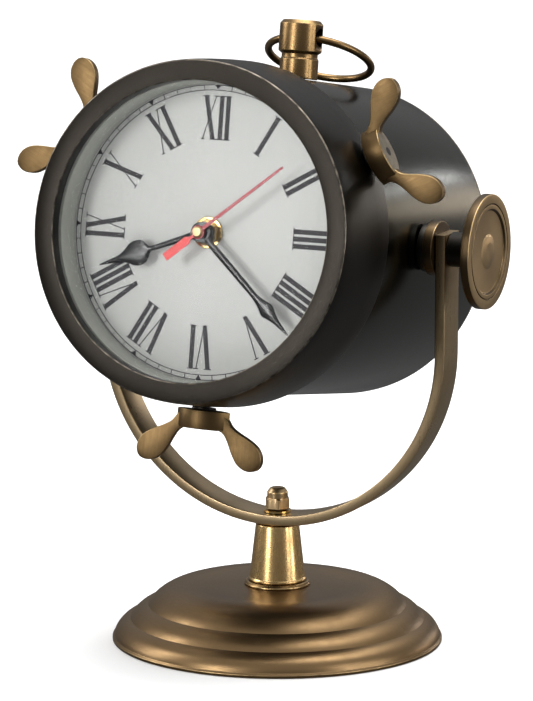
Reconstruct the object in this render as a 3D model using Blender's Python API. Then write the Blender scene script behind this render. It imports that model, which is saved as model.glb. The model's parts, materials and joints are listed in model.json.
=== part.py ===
"""Ship's deck clock: a drum case with a bolted front ring, tilting in a yoke on a round stepped stand.

Dimensions below are in millimetres and degrees; the meshes are written in metres.
The origin is the centre of the stand's underside, +Z is up and the dial looks towards -Y.
Case parts are drawn round the case's own axis, which is the head empty's Y axis, and tilt with it.
"""
import math

import bmesh
import bpy
from mathutils import Matrix, Vector

MM = 0.001
GAP = 0.3           # space left between neighbouring pieces
FINE = 0.2          # space left where one small piece turns inside another

# Stand
PAD_R = 80.0
PAD_H = 1.0
PAD_RECESS_R = 80.3
BASE_TOP = 28.0
BASE_GROOVES = [(38.0, 28.1), (55.5, 26.0), (65.6, 18.2), (74.7, 11.2)]     # radius and height
BASE_BULGES = (1.0, 0.9, 1.0, 1.5)      # how far each step rounds out beyond its grooves
FOOT_EDGE = (83.0, 2.6)
FOOT = (83.8, 0.3)
SHELL_INSIDE = [(PAD_RECESS_R, 1.3), (75.0, 7.2), (55.0, 19.5), (38.0, 24.8)]
WEIGHT_TOP = [(36.0, 24.5), (54.0, 18.6), (73.0, 7.0), (76.0, 1.3)]
WEIGHT_POCKET_R = 12.0
WEIGHT_POCKET_TOP = 6.6
COLLAR_R = 16.7
COLLAR_H = 2.2
POST_R_LOW = 14.6
POST_R_HIGH = 11.0
ROD_R = 2.0
ROD_ABOVE_YOKE = 9.0

# Yoke
YOKE_R = 94.15
YOKE_THICK = 5.2
YOKE_WIDTH = 18.6
YOKE_ARC_Z = 154.3
YOKE_END_ABOVE_PIVOT = 8.0
YOKE_EDGE = 0.5
WASHER_R = 6.9
WASHER_THICK = 0.9
ACORN_FLATS = 11.5
ACORN_HEX_H = 6.0
ACORN_DOME = [(0, 11.2), (2.8, 11.0), (4.5, 10.1), (5.3, 8.5), (5.3, 4.5), (0, 4.5)]
ACORN_BORE_H = 8.4

# Case
PIVOT_Z = 206.6
CASE_TILT = 9.44
RING_FRONT_Y = -105.95
RING_BACK_Y = -58.8
RING_FRONT_R = 82.5
RING_BACK_R = 84.9
RING_OPENING_R = 72.6
RING_FLARE = [(0.8, -98.0), (1.6, -86.0), (2.2, -72.0)]     # growth beyond the front radius, and place
RING_EDGE = 0.6
LIP_DEPTH = 7.0
DRUM_R = 79.5
DRUM_WALL = 2.0
DRUM_FRONT_Y = -80.7
CASE_BACK_Y = 84.15
COVER_THICK = 1.9
COVER_PLUG_Y = 74.0
COVER_EDGE = 1.1
DIAL_Y = -82.25
DIAL_R = 78.8
DIAL_THICK = 1.2
GLASS_R = 76.8
GLASS_THICK = 2.5
SPACER_BACK_R = 71.9

# Pivots and tilt knobs, measured along X from the case's axis
PIVOT_SCREW_R = 4.0
PIVOT_SCREW_END = 71.0
PIVOT_NUT = (70.0, 76.2)
PIVOT_NUT_FLATS = 14.0
PIVOT_WASHER = (80.0, 83.2)
PIVOT_WASHER_R = 12.0
SPACER = (83.5, 88.6)
SPACER_R = 13.6
KNOB_R = 28.4
KNOB_FACE_X = 114.1
KNOB_THICK = 4.4
KNOB_EDGE = 0.5
KNOB_FACE = [(23.9, 0), (23.4, -0.5), (22.9, 0), (21.0, 0), (20.4, -1.0), (8.0, -1.0), (4.6, -0.3), (0, 0)]
STEM_R = 8.6

# Wing nuts, measured outward from the case's axis
WING_Y = -66.5
WING_ANGLES = {"top_right": 28.0, "top_left": 151.0, "bottom": -92.0}
WING_TWISTS = {"top_right": 5.0, "top_left": 1.5, "bottom": -5.5}
STUD_R = 2.0
STUD_END = 74.5
STUD_COLLAR_R = 6.0
STUD_COLLAR_LOW = 85.2
HUB_LOW = 86.4
HUB_HIGH = 95.8
HUB_HALF = (13.6, 7.6)                  # half length and half width of the lens shape
WING_STATIONS = [(7.0, 91.1, 4.5), (10.2, 92.3, 3.8), (13.6, 95.2, 2.8), (17.0, 98.5, 3.9),
                 (20.6, 102.1, 5.7), (24.3, 105.8, 6.7), (27.5, 109.0, 6.0), (29.5, 111.0, 4.2),
                 (30.7, 112.2, 1.6)]    # across, outward and half width, from the hub to the tip
WING_HALF_THICK = 2.5

# Hanging ring
BOSS_Y = 11.0
BOSS_TOP = 109.0
BOSS_FOOT = 76.5
BOSS_SIDE = [(9.2, 109.0), (10.9, 107.2), (10.9, 94.0), (9.1, 92.2), (9.1, 90.2), (9.7, 89.6)]
BOSS_SHANK_R = 3.0
BOSS_NUT = (72.4, 76.6)
BOSS_NUT_FLATS = 11.0
EYE_HEIGHT = 100.6
EYE_R = 4.6
RING_R = 26.6
RING_WIRE_R = 1.9
RING_DROOP = 20.0

# Movement and hands, measured along the case's axis
MOVEMENT_HALF = 28.0
MOVEMENT_FRONT_Y = -79.3
MOVEMENT_BACK_Y = -63.3
MOVEMENT_WALL = 1.4
MOVEMENT_COVER = 1.2
BUSH_R = 3.9
BUSH_ABOVE_DIAL = 5.2
RUBBER_R = 8.0
FIXING_WASHER = (7.75, 0.8)             # radius and thickness
FIXING_NUT = (11.5, 2.5)                # across flats and thickness
LAYER_PITCH = 1.7
WHEEL_THICK = 0.9
ARBOR_R = 0.5
KNOB_STEM_R = 1.6
KNOB_HEAD = (6.0, 4.0)                  # radius and height
MAGNET_R = 2.4
BATTERY_X = 19.0
BATTERY_R = 7.0
BATTERY_ENDS = (-24.6, 23.4, 24.8)      # foot, shoulder and tip of the cell, along Z
BATTERY_TIP_R = 2.7
BATTERY_BAY = (7.4, -25.2, 25.1)        # half width of the opening behind the cell, and its two ends
CONTACT_HALF = (6.0, 5.0)
CONTACT_THICK = 0.5
CONTACTS = {"bottom": -26.0, "top": 25.4}
HOUR_HAND_Y = -88.6
MINUTE_HAND_Y = -91.4
SECOND_HAND_Y = -94.4
HAND_THICK = 0.6
HOUR_ANGLE = 250.4
MINUTE_ANGLE = 133.0
SECOND_ANGLE = 51.4
HOUR_BULB = (36.6, 6.2)                 # distance from the centre, radius
HOUR_SIDE = ([(1.5, 3.5), (1.4, 30.6)], [(1.3, 44.0), (0.5, 57.6)])     # before and after the bulb
MINUTE_SIDE = [(1.2, 2.5), (1.1, 43.0), (3.6, 51.5), (1.1, 58.0), (0.4, 67.6)]
SECOND_SIDE = [(2.0, -21.4), (2.0, -6.0), (0.8, -5.2), (0.35, 54.1)]
HOUR_HUB_R = 5.25
MINUTE_HUB_R = 5.0
CAP_R = 2.8
SECOND_HUB_R = 3.3
SECOND_NECK_R = 2.0

# Running radii of the nested tubes at the centre of the dial: outside and bore
HOUR_TUBE = (2.9, 2.3)
MINUTE_TUBE = (2.0, 1.2)
SECOND_SHAFT_R = 0.9

CASE_STEPS = 48     # sides round the case

FINISHES = {
    "gunmetal": ((0.085, 0.07, 0.055), 0.38, 1.0),
    "antique_brass": ((0.36, 0.24, 0.115), 0.36, 1.0),
    "golden_bronze": ((0.42, 0.27, 0.115), 0.32, 1.0),
    "dark_iron": ((0.03, 0.026, 0.022), 0.45, 0.9),
    "bright_brass": ((0.78, 0.57, 0.25), 0.25, 1.0),
    "cast_iron": ((0.16, 0.16, 0.16), 0.6, 0.9),
    "steel": ((0.62, 0.62, 0.6), 0.3, 1.0),
    "felt": ((0.03, 0.09, 0.05), 0.95, 0.0),
    "glass": ((0.9, 0.95, 0.95), 0.03, 0.0),
    "rubber": ((0.03, 0.03, 0.03), 0.8, 0.0),
    "dial_white": ((0.82, 0.81, 0.76), 0.35, 0.3),
    "grey_paint": ((0.45, 0.45, 0.43), 0.5, 0.2),
    "black_paint": ((0.012, 0.012, 0.012), 0.35, 0.0),
    "red_paint": ((0.55, 0.03, 0.02), 0.35, 0.0),
    "black_plastic": ((0.03, 0.03, 0.03), 0.5, 0.0),
    "white_plastic": ((0.8, 0.8, 0.78), 0.45, 0.0),
    "board_green": ((0.04, 0.2, 0.08), 0.5, 0.0),
    "copper": ((0.7, 0.32, 0.16), 0.35, 1.0),
    "battery_jacket": ((0.1, 0.12, 0.3), 0.4, 0.0),
}

AXES = {"X": Vector((1, 0, 0)), "Y": Vector((0, 1, 0)), "Z": Vector((0, 0, 1))}


def clear_scene():
    for item in list(bpy.data.objects):
        bpy.data.objects.remove(item, do_unlink=True)


def empty(name, at=(0, 0, 0), turn=(0, 0, 0), parent=None):
    """A frame that pieces are placed in: position in millimetres, turn in degrees about X, Y and Z."""
    item = bpy.data.objects.new(name, None)
    bpy.context.collection.objects.link(item)
    item.location = Vector(at) * MM
    item.rotation_euler = [math.radians(angle) for angle in turn]
    item.parent = parent
    return item


def solid(name, bm, finish, parent=None, at=(0, 0, 0), turn=(0, 0, 0)):
    """Write a finished bmesh to an object with its own material."""
    bmesh.ops.recalc_face_normals(bm, faces=bm.faces)
    mesh = bpy.data.meshes.new(name)
    bm.to_mesh(mesh)
    bm.free()
    mesh.shade_smooth()
    mesh.set_sharp_from_angle(angle=math.radians(35))
    item = bpy.data.objects.new(name, mesh)
    bpy.context.collection.objects.link(item)
    item.location = Vector(at) * MM
    item.rotation_euler = [math.radians(angle) for angle in turn]
    item.parent = parent
    material = bpy.data.materials.new(name)
    material.use_nodes = True
    shader = material.node_tree.nodes["Principled BSDF"]
    colour, roughness, metallic = FINISHES[finish]
    shader.inputs["Base Color"].default_value = (*colour, 1.0)
    shader.inputs["Roughness"].default_value = roughness
    shader.inputs["Metallic"].default_value = metallic
    mesh.materials.append(material)
    return item


def on_axis(axis, radius, along):
    """A profile point: along the axis, and off it by the radius."""
    return {"X": Vector((along, radius, 0)),
            "Y": Vector((radius, along, 0)),
            "Z": Vector((radius, 0, along))}[axis] * MM


def on_plane(axis, u, v, along):
    """An outline point on the plane across the axis."""
    return {"X": Vector((along, u, v)),
            "Y": Vector((u, along, v)),
            "Z": Vector((u, v, along))}[axis] * MM


def revolve(profile, axis="Z", steps=40):
    """Spin a profile of (radius, along) points; it is closed unless both its ends lie on the axis."""
    bm = bmesh.new()
    verts = [bm.verts.new(on_axis(axis, radius, along)) for radius, along in profile]
    edges = [bm.edges.new(pair) for pair in zip(verts, verts[1:])]
    if profile[0][0] > 0 or profile[-1][0] > 0:
        edges.append(bm.edges.new((verts[-1], verts[0])))
    bmesh.ops.spin(bm, geom=verts + edges, cent=(0, 0, 0), axis=AXES[axis], dvec=(0, 0, 0),
                   angle=math.tau, steps=steps, use_merge=True, use_duplicate=False)
    bmesh.ops.remove_doubles(bm, verts=bm.verts, dist=0.000001)
    return bm


def extrude(outline, low, high, axis="Z"):
    """A flat outline of (u, v) points carried along the axis from low to high."""
    bm = bmesh.new()
    face = bm.faces.new([bm.verts.new(on_plane(axis, u, v, low)) for u, v in outline])
    carried = bmesh.ops.extrude_face_region(bm, geom=[face])["geom"]
    verts = [part for part in carried if isinstance(part, bmesh.types.BMVert)]
    bmesh.ops.translate(bm, verts=verts, vec=AXES[axis] * (high - low) * MM)
    return bm


def box(low, high):
    bm = bmesh.new()
    bmesh.ops.create_cube(bm, size=1.0)
    size = Vector(high) - Vector(low)
    middle = (Vector(high) + Vector(low)) / 2
    bmesh.ops.transform(bm, matrix=Matrix.Translation(middle * MM) @ Matrix.Diagonal((*size * MM, 1.0)),
                        verts=bm.verts)
    return bm


def tube_profile(outer, inner, low, high):
    return [(outer, high), (outer, low), (inner, low), (inner, high)]


def rod_profile(radius, low, high):
    return [(0, high), (radius, high), (radius, low), (0, low)]


def add(*meshes):
    """Gather meshes that don't touch into one, as a group of separate solids."""
    whole = bmesh.new()
    for bm in meshes:
        piece = bpy.data.meshes.new("piece")
        bm.to_mesh(piece)
        bm.free()
        whole.from_mesh(piece)
        bpy.data.meshes.remove(piece)
    return whole


def combine(target, bm, operation, label):
    """Join a shape to a piece, or cut it away; the shape stays behind as a hidden guide."""
    guide = solid(f"{target.name}_{label}", bm, "steel", target.parent)
    guide.location = target.location
    guide.rotation_euler = target.rotation_euler
    guide.hide_render = True
    guide.display_type = "WIRE"
    modifier = target.modifiers.new(label, "BOOLEAN")
    modifier.operation = operation
    modifier.solver = "EXACT"
    modifier.object = guide


def circle(radius, steps, centre=(0, 0), start=0.0, sweep=math.tau):
    """Points round a circle, or along an arc of it with both ends."""
    count = steps if sweep == math.tau else steps + 1
    return [(centre[0] + radius * math.cos(start + sweep * index / steps),
             centre[1] + radius * math.sin(start + sweep * index / steps)) for index in range(count)]


def bulged(start, end, bulge, steps):
    """Points from start to end along an arc that stands out to the left of the way by the bulge."""
    (x0, y0), (x1, y1) = start, end
    length = math.hypot(x1 - x0, y1 - y0)
    points = []
    for index in range(steps):
        t = index / steps
        rise = bulge * 4 * t * (1 - t)
        points.append((x0 + (x1 - x0) * t - (y1 - y0) / length * rise,
                       y0 + (y1 - y0) * t + (x1 - x0) / length * rise))
    return points


def hexagon(across_flats):
    return circle(across_flats / math.sqrt(3), 6)


def hex_nut(name, finish, across_flats, low, high, bore, axis="Z", parent=None, at=(0, 0, 0)):
    nut = solid(name, extrude(hexagon(across_flats), min(low, high), max(low, high), axis), finish, parent,
                at)
    hole = rod_profile(bore, min(low, high) - 3, max(low, high) + 3)
    combine(nut, revolve(hole, axis, 16), "DIFFERENCE", "bore")
    return nut


# ---------------------------------------------------------------- stand

def base_outline():
    """The stepped outside of the base, from its top edge down to its foot: four rounded steps."""
    outside = [(COLLAR_R + 2, BASE_TOP), (BASE_GROOVES[0][0], BASE_TOP)]
    for start, end, bulge in zip(BASE_GROOVES, BASE_GROOVES[1:] + [FOOT_EDGE], BASE_BULGES):
        outside += bulged(start, end, bulge, 3)
    return outside + [FOOT_EDGE, FOOT]


def make_stand():
    solid("felt_pad", revolve(rod_profile(PAD_R, 0, PAD_H)), "felt")
    bore = ROD_R + GAP
    inside = [(PAD_RECESS_R, FOOT[1])] + SHELL_INSIDE + [(bore, SHELL_INSIDE[-1][1])]
    solid("base_shell", revolve([(bore, BASE_TOP)] + base_outline() + inside), "golden_bronze")

    pocket = [(WEIGHT_POCKET_R, PAD_H + GAP), (WEIGHT_POCKET_R, WEIGHT_POCKET_TOP), (bore, WEIGHT_POCKET_TOP)]
    weight = [(bore, WEIGHT_TOP[0][1])] + WEIGHT_TOP + pocket
    solid("base_weight", revolve(weight, steps=24), "cast_iron")

    solid("base_washer", revolve(tube_profile(9.0, ROD_R + FINE, 5.3, 6.3), steps=24), "steel")
    hex_nut("base_nut", "steel", 8.0, 1.9, 5.0, ROD_R + FINE)

    collar_low = BASE_TOP + GAP
    collar = tube_profile(COLLAR_R - 0.5, bore, collar_low, collar_low + COLLAR_H)
    collar[:2] = [(COLLAR_R - 0.7, collar_low + COLLAR_H), (COLLAR_R, collar_low + COLLAR_H - 0.8),
                  (COLLAR_R, collar_low + 0.6), (COLLAR_R - 0.5, collar_low)]
    solid("post_collar", revolve(collar, steps=24), "antique_brass")

    post_low = collar_low + COLLAR_H + GAP
    post_high = YOKE_ARC_Z - YOKE_R - GAP
    post = tube_profile(POST_R_LOW, bore, post_low, post_high)
    post[0] = (POST_R_HIGH, post_high)
    solid("post", revolve(post, steps=24), "antique_brass")

    rod_high = YOKE_ARC_Z - YOKE_R + YOKE_THICK + ROD_ABOVE_YOKE
    solid("tie_rod", revolve(rod_profile(ROD_R, PAD_H + GAP, rod_high), steps=16), "steel")


def make_yoke():
    bottom = YOKE_ARC_Z - YOKE_R + YOKE_THICK
    top = PIVOT_Z + YOKE_END_ABOVE_PIVOT
    inner_r = YOKE_R - YOKE_THICK
    outer = [(YOKE_R, top)] + [(x, YOKE_ARC_Z + z) for x, z in circle(YOKE_R, 28, sweep=-math.pi)]
    inner = [(-inner_r, YOKE_ARC_Z), (-inner_r, top)]
    inner[:1] = [(x, YOKE_ARC_Z + z) for x, z in circle(inner_r, 28, start=-math.pi, sweep=math.pi)]
    outline = outer + [(-YOKE_R, top), (-inner_r, top)] + inner[:-1] + [(inner_r, top)]
    yoke = solid("yoke", extrude(outline, -YOKE_WIDTH / 2, YOKE_WIDTH / 2, "Y"), "antique_brass")
    edge = yoke.modifiers.new("worn_edges", "BEVEL")
    edge.width = YOKE_EDGE * MM
    edge.segments = 1
    pivot_holes = revolve(rod_profile(PIVOT_SCREW_R + GAP, -120, 120), "X", 20)
    bmesh.ops.translate(pivot_holes, verts=pivot_holes.verts, vec=(0, 0, PIVOT_Z * MM))
    combine(yoke, pivot_holes, "DIFFERENCE", "pivot_holes")
    combine(yoke, revolve(rod_profile(ROD_R + GAP, bottom - 10, bottom + 5), steps=16),
            "DIFFERENCE", "rod_hole")

    washer_low = bottom + 2 * GAP       # its rim clears the inside of the arc
    washer_high = washer_low + WASHER_THICK
    solid("yoke_washer", revolve(tube_profile(WASHER_R, ROD_R + GAP, washer_low, washer_high), steps=24),
          "bright_brass")
    low = washer_high + GAP
    dome = [(radius, low + height) for radius, height in ACORN_DOME]
    nut = solid("acorn_nut", extrude(hexagon(ACORN_FLATS), low, low + ACORN_HEX_H), "antique_brass")
    combine(nut, revolve(dome, steps=24), "UNION", "dome")
    combine(nut, revolve(rod_profile(ROD_R + FINE, low - 1, low + ACORN_BORE_H), steps=16),
            "DIFFERENCE", "bore")


# ---------------------------------------------------------------- case

def make_front_ring(head):
    lip_back = RING_FRONT_Y + LIP_DEPTH
    drum_bore = DRUM_R + GAP
    face = [(RING_OPENING_R + RING_EDGE, RING_FRONT_Y), (RING_FRONT_R - RING_EDGE, RING_FRONT_Y),
            (RING_FRONT_R, RING_FRONT_Y + RING_EDGE)]
    flare = [(RING_FRONT_R + growth, y) for growth, y in RING_FLARE]
    seam = [(RING_BACK_R, RING_BACK_Y + RING_EDGE), (RING_BACK_R - RING_EDGE, RING_BACK_Y)]
    outside = face + flare + seam
    inside = [(drum_bore, RING_BACK_Y), (drum_bore, lip_back), (RING_OPENING_R, lip_back),
              (RING_OPENING_R, RING_FRONT_Y + RING_EDGE)]
    ring = solid("front_ring", revolve(outside + inside, "Y", CASE_STEPS), "gunmetal", head)
    combine(ring, stud_holes(), "DIFFERENCE", "stud_holes")


def stud_holes():
    """The three radial holes that the wing-nut studs pass through."""
    holes = []
    for angle in WING_ANGLES.values():
        hole = revolve(rod_profile(STUD_R + GAP, 70, 95), "Z", 12)
        move = Matrix.Translation((0, WING_Y * MM, 0)) @ Matrix.Rotation(math.radians(90 - angle), 4, "Y")
        bmesh.ops.transform(hole, matrix=move, verts=hole.verts)
        holes.append(hole)
    return add(*holes)


def make_case(head):
    inner_r = DRUM_R - DRUM_WALL
    drum_back = CASE_BACK_Y - COVER_THICK - GAP
    shell = revolve(tube_profile(DRUM_R, inner_r, DRUM_FRONT_Y, drum_back), "Y", CASE_STEPS)
    drum = solid("case_drum", shell, "gunmetal", head)
    combine(drum, stud_holes(), "DIFFERENCE", "stud_holes")
    combine(drum, revolve(rod_profile(PIVOT_SCREW_R + GAP, -90, 90), "X", 20), "DIFFERENCE", "pivot_holes")
    boss_hole = revolve(rod_profile(BOSS_SHANK_R + GAP, 70, 90), "Z", 16)
    bmesh.ops.translate(boss_hole, verts=boss_hole.verts, vec=(0, BOSS_Y * MM, 0))
    combine(drum, boss_hole, "DIFFERENCE", "boss_hole")

    plug_r = inner_r - GAP
    rim = DRUM_R - 0.1
    shoulder = CASE_BACK_Y - COVER_THICK
    cover = [(0, CASE_BACK_Y), (rim - COVER_EDGE, CASE_BACK_Y), (rim, CASE_BACK_Y - COVER_EDGE),
             (rim, shoulder), (plug_r, shoulder), (plug_r, COVER_PLUG_Y), (plug_r - DRUM_WALL, COVER_PLUG_Y),
             (plug_r - DRUM_WALL, shoulder), (0, shoulder)]
    solid("rear_cover", revolve(cover, "Y", CASE_STEPS), "gunmetal", head)


def make_front_fittings(head):
    """What the front ring holds: glass, gasket, spacer ring and dial, in that order from the front."""
    glass_front = RING_FRONT_Y + LIP_DEPTH + GAP
    glass_back = glass_front + GLASS_THICK
    solid("crystal", revolve(rod_profile(GLASS_R, glass_front, glass_back), "Y", CASE_STEPS), "glass", head)
    gasket = tube_profile(DIAL_R + GAP, GLASS_R + GAP, glass_front, glass_back)
    solid("glass_gasket", revolve(gasket, "Y", CASE_STEPS), "rubber", head)
    spacer = [(DIAL_R, glass_back + GAP), (DIAL_R, DIAL_Y - GAP), (SPACER_BACK_R, DIAL_Y - GAP),
              (RING_OPENING_R + GAP, glass_back + GAP)]
    solid("spacer_ring", revolve(spacer, "Y", CASE_STEPS), "grey_paint", head)
    solid("dial", revolve(tube_profile(DIAL_R, BUSH_R + GAP, DIAL_Y, DIAL_Y + DIAL_THICK), "Y", CASE_STEPS),
          "dial_white", head)


def lens(long, wide, steps):
    """The outline of two equal arcs that meet in a point at both ends."""
    radius = (long ** 2 + wide ** 2) / (2 * wide)
    half = math.asin(long / radius)
    upper = circle(radius, steps, (0, wide - radius), math.pi / 2 - half, 2 * half)[:-1]
    return upper + [(-u, -v) for u, v in upper]


def wing_outline(side):
    """The outline of one wing: a blade with a waist near the hub and a round tip."""
    above, below = [], []
    middles = [Vector((side * across, outward)) for across, outward, _ in WING_STATIONS]
    for index, middle in enumerate(middles):
        way = middles[min(index + 1, len(middles) - 1)] - middles[max(index - 1, 0)]
        offset = Vector((-way.y, way.x)).normalized() * WING_STATIONS[index][2]
        above.append(tuple(middle + offset))
        below.append(tuple(middle - offset))
    return above + below[::-1]


def make_wing_nuts(head):
    for name, angle in WING_ANGLES.items():
        frame = empty(f"wing_axis_{name}", (0, WING_Y, 0), (0, 90 - angle, 0), head)
        tip = HUB_HIGH - 2 * GAP
        stud = [(0, tip), (STUD_R, tip), (STUD_R, HUB_LOW - GAP), (STUD_COLLAR_R, HUB_LOW - GAP),
                (STUD_COLLAR_R, STUD_COLLAR_LOW), (STUD_R, STUD_COLLAR_LOW), (STUD_R, STUD_END),
                (0, STUD_END)]
        solid(f"wing_stud_{name}", revolve(stud, steps=16), "dark_iron", frame)

        hub = extrude(lens(*HUB_HALF, 8), HUB_LOW, HUB_HIGH)
        nut = solid(f"wing_nut_{name}", hub, "antique_brass", frame, turn=(0, 0, WING_TWISTS[name]))
        for side, label in ((1, "wing_a"), (-1, "wing_b")):
            wing = extrude(wing_outline(side), -WING_HALF_THICK, WING_HALF_THICK, "Y")
            combine(nut, wing, "UNION", label)
        combine(nut, revolve(rod_profile(STUD_R + GAP, 80, 100), steps=16), "DIFFERENCE", "bore")


def make_pivots(head):
    """On each side: inner nut, washer and spacer on the case, and a tilt knob whose screw joins them."""
    bore = PIVOT_SCREW_R + GAP
    face = KNOB_FACE_X
    back = face - KNOB_THICK
    for name, side in (("right", 1), ("left", -1)):
        nut_low, nut_high = (side * x for x in PIVOT_NUT)
        hex_nut(f"pivot_nut_{name}", "steel", PIVOT_NUT_FLATS, nut_low, nut_high, bore, "X", head)
        washer_low, washer_high = (side * x for x in PIVOT_WASHER)
        washer = revolve(tube_profile(PIVOT_WASHER_R, bore, washer_low, washer_high), "X", 16)
        solid(f"pivot_washer_{name}", washer, "dark_iron", head)
        inner, outer = (side * x for x in SPACER)
        spacer = revolve(tube_profile(SPACER_R, bore, inner, outer), "X", 24)
        solid(f"pivot_spacer_{name}", spacer, "antique_brass", head)

        stem = YOKE_R + GAP
        profile = [(0, PIVOT_SCREW_END), (PIVOT_SCREW_R, PIVOT_SCREW_END), (PIVOT_SCREW_R, stem),
                   (STEM_R, stem), (STEM_R, back), (KNOB_R - KNOB_EDGE, back), (KNOB_R, back + KNOB_EDGE),
                   (KNOB_R, face - KNOB_EDGE), (KNOB_R - KNOB_EDGE, face)]
        profile += [(radius, face + relief) for radius, relief in KNOB_FACE]
        solid(f"tilt_knob_{name}", revolve([(r, side * x) for r, x in profile], "X", 32),
              "antique_brass", head)


def make_hanging_ring(head):
    boss = [(0, BOSS_TOP)] + BOSS_SIDE + [(BOSS_SIDE[-1][0], BOSS_FOOT), (0, BOSS_FOOT)]
    eye = solid("ring_boss", revolve(boss, steps=20), "antique_brass", head, at=(0, BOSS_Y, 0))
    seat = revolve(rod_profile(DRUM_R + GAP, -30, 30), "Y", CASE_STEPS)
    combine(eye, seat, "DIFFERENCE", "seat")
    combine(eye, revolve(rod_profile(BOSS_SHANK_R, BOSS_NUT[0] + 2.2, 85.0), steps=16), "UNION", "shank")
    hole = revolve(rod_profile(EYE_R, -20, 20), "X", 16)
    bmesh.ops.translate(hole, verts=hole.verts, vec=(0, 0, EYE_HEIGHT * MM))
    combine(eye, hole, "DIFFERENCE", "eye")
    hex_nut("boss_nut", "steel", BOSS_NUT_FLATS, *BOSS_NUT, BOSS_SHANK_R + GAP, parent=head,
            at=(0, BOSS_Y, 0))

    bm = bmesh.new()
    wire = [bm.verts.new(Vector((0, RING_R + x, z)) * MM) for x, z in circle(RING_WIRE_R, 8)]
    edges = [bm.edges.new(pair) for pair in zip(wire, wire[1:] + wire[:1])]
    bmesh.ops.spin(bm, geom=wire + edges, cent=(0, 0, 0), axis=(0, 0, 1), dvec=(0, 0, 0),
                   angle=math.tau, steps=36, use_merge=True, use_duplicate=False)
    bmesh.ops.translate(bm, verts=bm.verts, vec=(0, RING_R * MM, 0))
    solid("hanging_ring", bm, "antique_brass", head, at=(0, BOSS_Y, EYE_HEIGHT), turn=(-RING_DROOP, 0, 0))


# ---------------------------------------------------------------- movement

ARBOR_LOW = MOVEMENT_FRONT_Y + MOVEMENT_WALL + FINE
ARBOR_HIGH = MOVEMENT_BACK_Y + GAP - FINE


def around(distance, angle, start=(0, 0)):
    """A point at a distance and direction from another, seen from the dial side."""
    return (start[0] + distance * math.cos(math.radians(angle)),
            start[1] + distance * math.sin(math.radians(angle)))


# Axes of the train, each a centre distance away from the wheel that it meshes with
CENTRE = (0, 0)
THIRD_MODULE = 0.34
THIRD = around((6 + 45) / 2 * 0.36, -75)
INTERMEDIATE = around((8 + 24) / 2 * 0.6, 100)
SETTING = around((24 + 12) / 2 * 0.6, 150, INTERMEDIATE)
FIFTH = around((36 + 6) / 2 * 0.44, -135)
ROTOR = around((30 + 6) / 2 * 0.34, 180, FIFTH)


def layer(number):
    """Front face of a wheel layer, counted from the dial side."""
    return MOVEMENT_FRONT_Y + MOVEMENT_WALL + 0.5 + number * LAYER_PITCH


def gear_outline(teeth, module, tooth_at):
    """A clock wheel's outline: pointed teeth, shallow enough to run free, one at the given angle."""
    pitch_r = teeth * module / 2
    points = []
    for index in range(teeth):
        angle = tooth_at + 360 * index / teeth
        points.append(around(pitch_r + 0.6 * module, angle))
        points.append(around(pitch_r - 0.95 * module, angle + 180 / teeth))
    return points


def make_wheel(name, finish, head, place, arbor, wheels, bore=0.0):
    """An arbor with its toothed wheels, each (teeth, module, layer, angle of one tooth)."""
    frame = empty(f"{name}_axis", (place[0], 0, place[1]), parent=head)
    wheel = solid(name, revolve(arbor, "Y", 12), finish, frame)
    for teeth, module, number, tooth_at in wheels:
        disc = extrude(gear_outline(teeth, module, tooth_at), layer(number), layer(number) + WHEEL_THICK, "Y")
        combine(wheel, disc, "UNION", f"teeth_{teeth}")
    if bore:
        combine(wheel, revolve(rod_profile(bore, -110, -50), "Y", 12), "DIFFERENCE", "bore")


def gap_towards(angle, teeth):
    """The tooth angle that leaves a gap between teeth facing the given direction."""
    return angle + 180 / teeth


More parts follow.
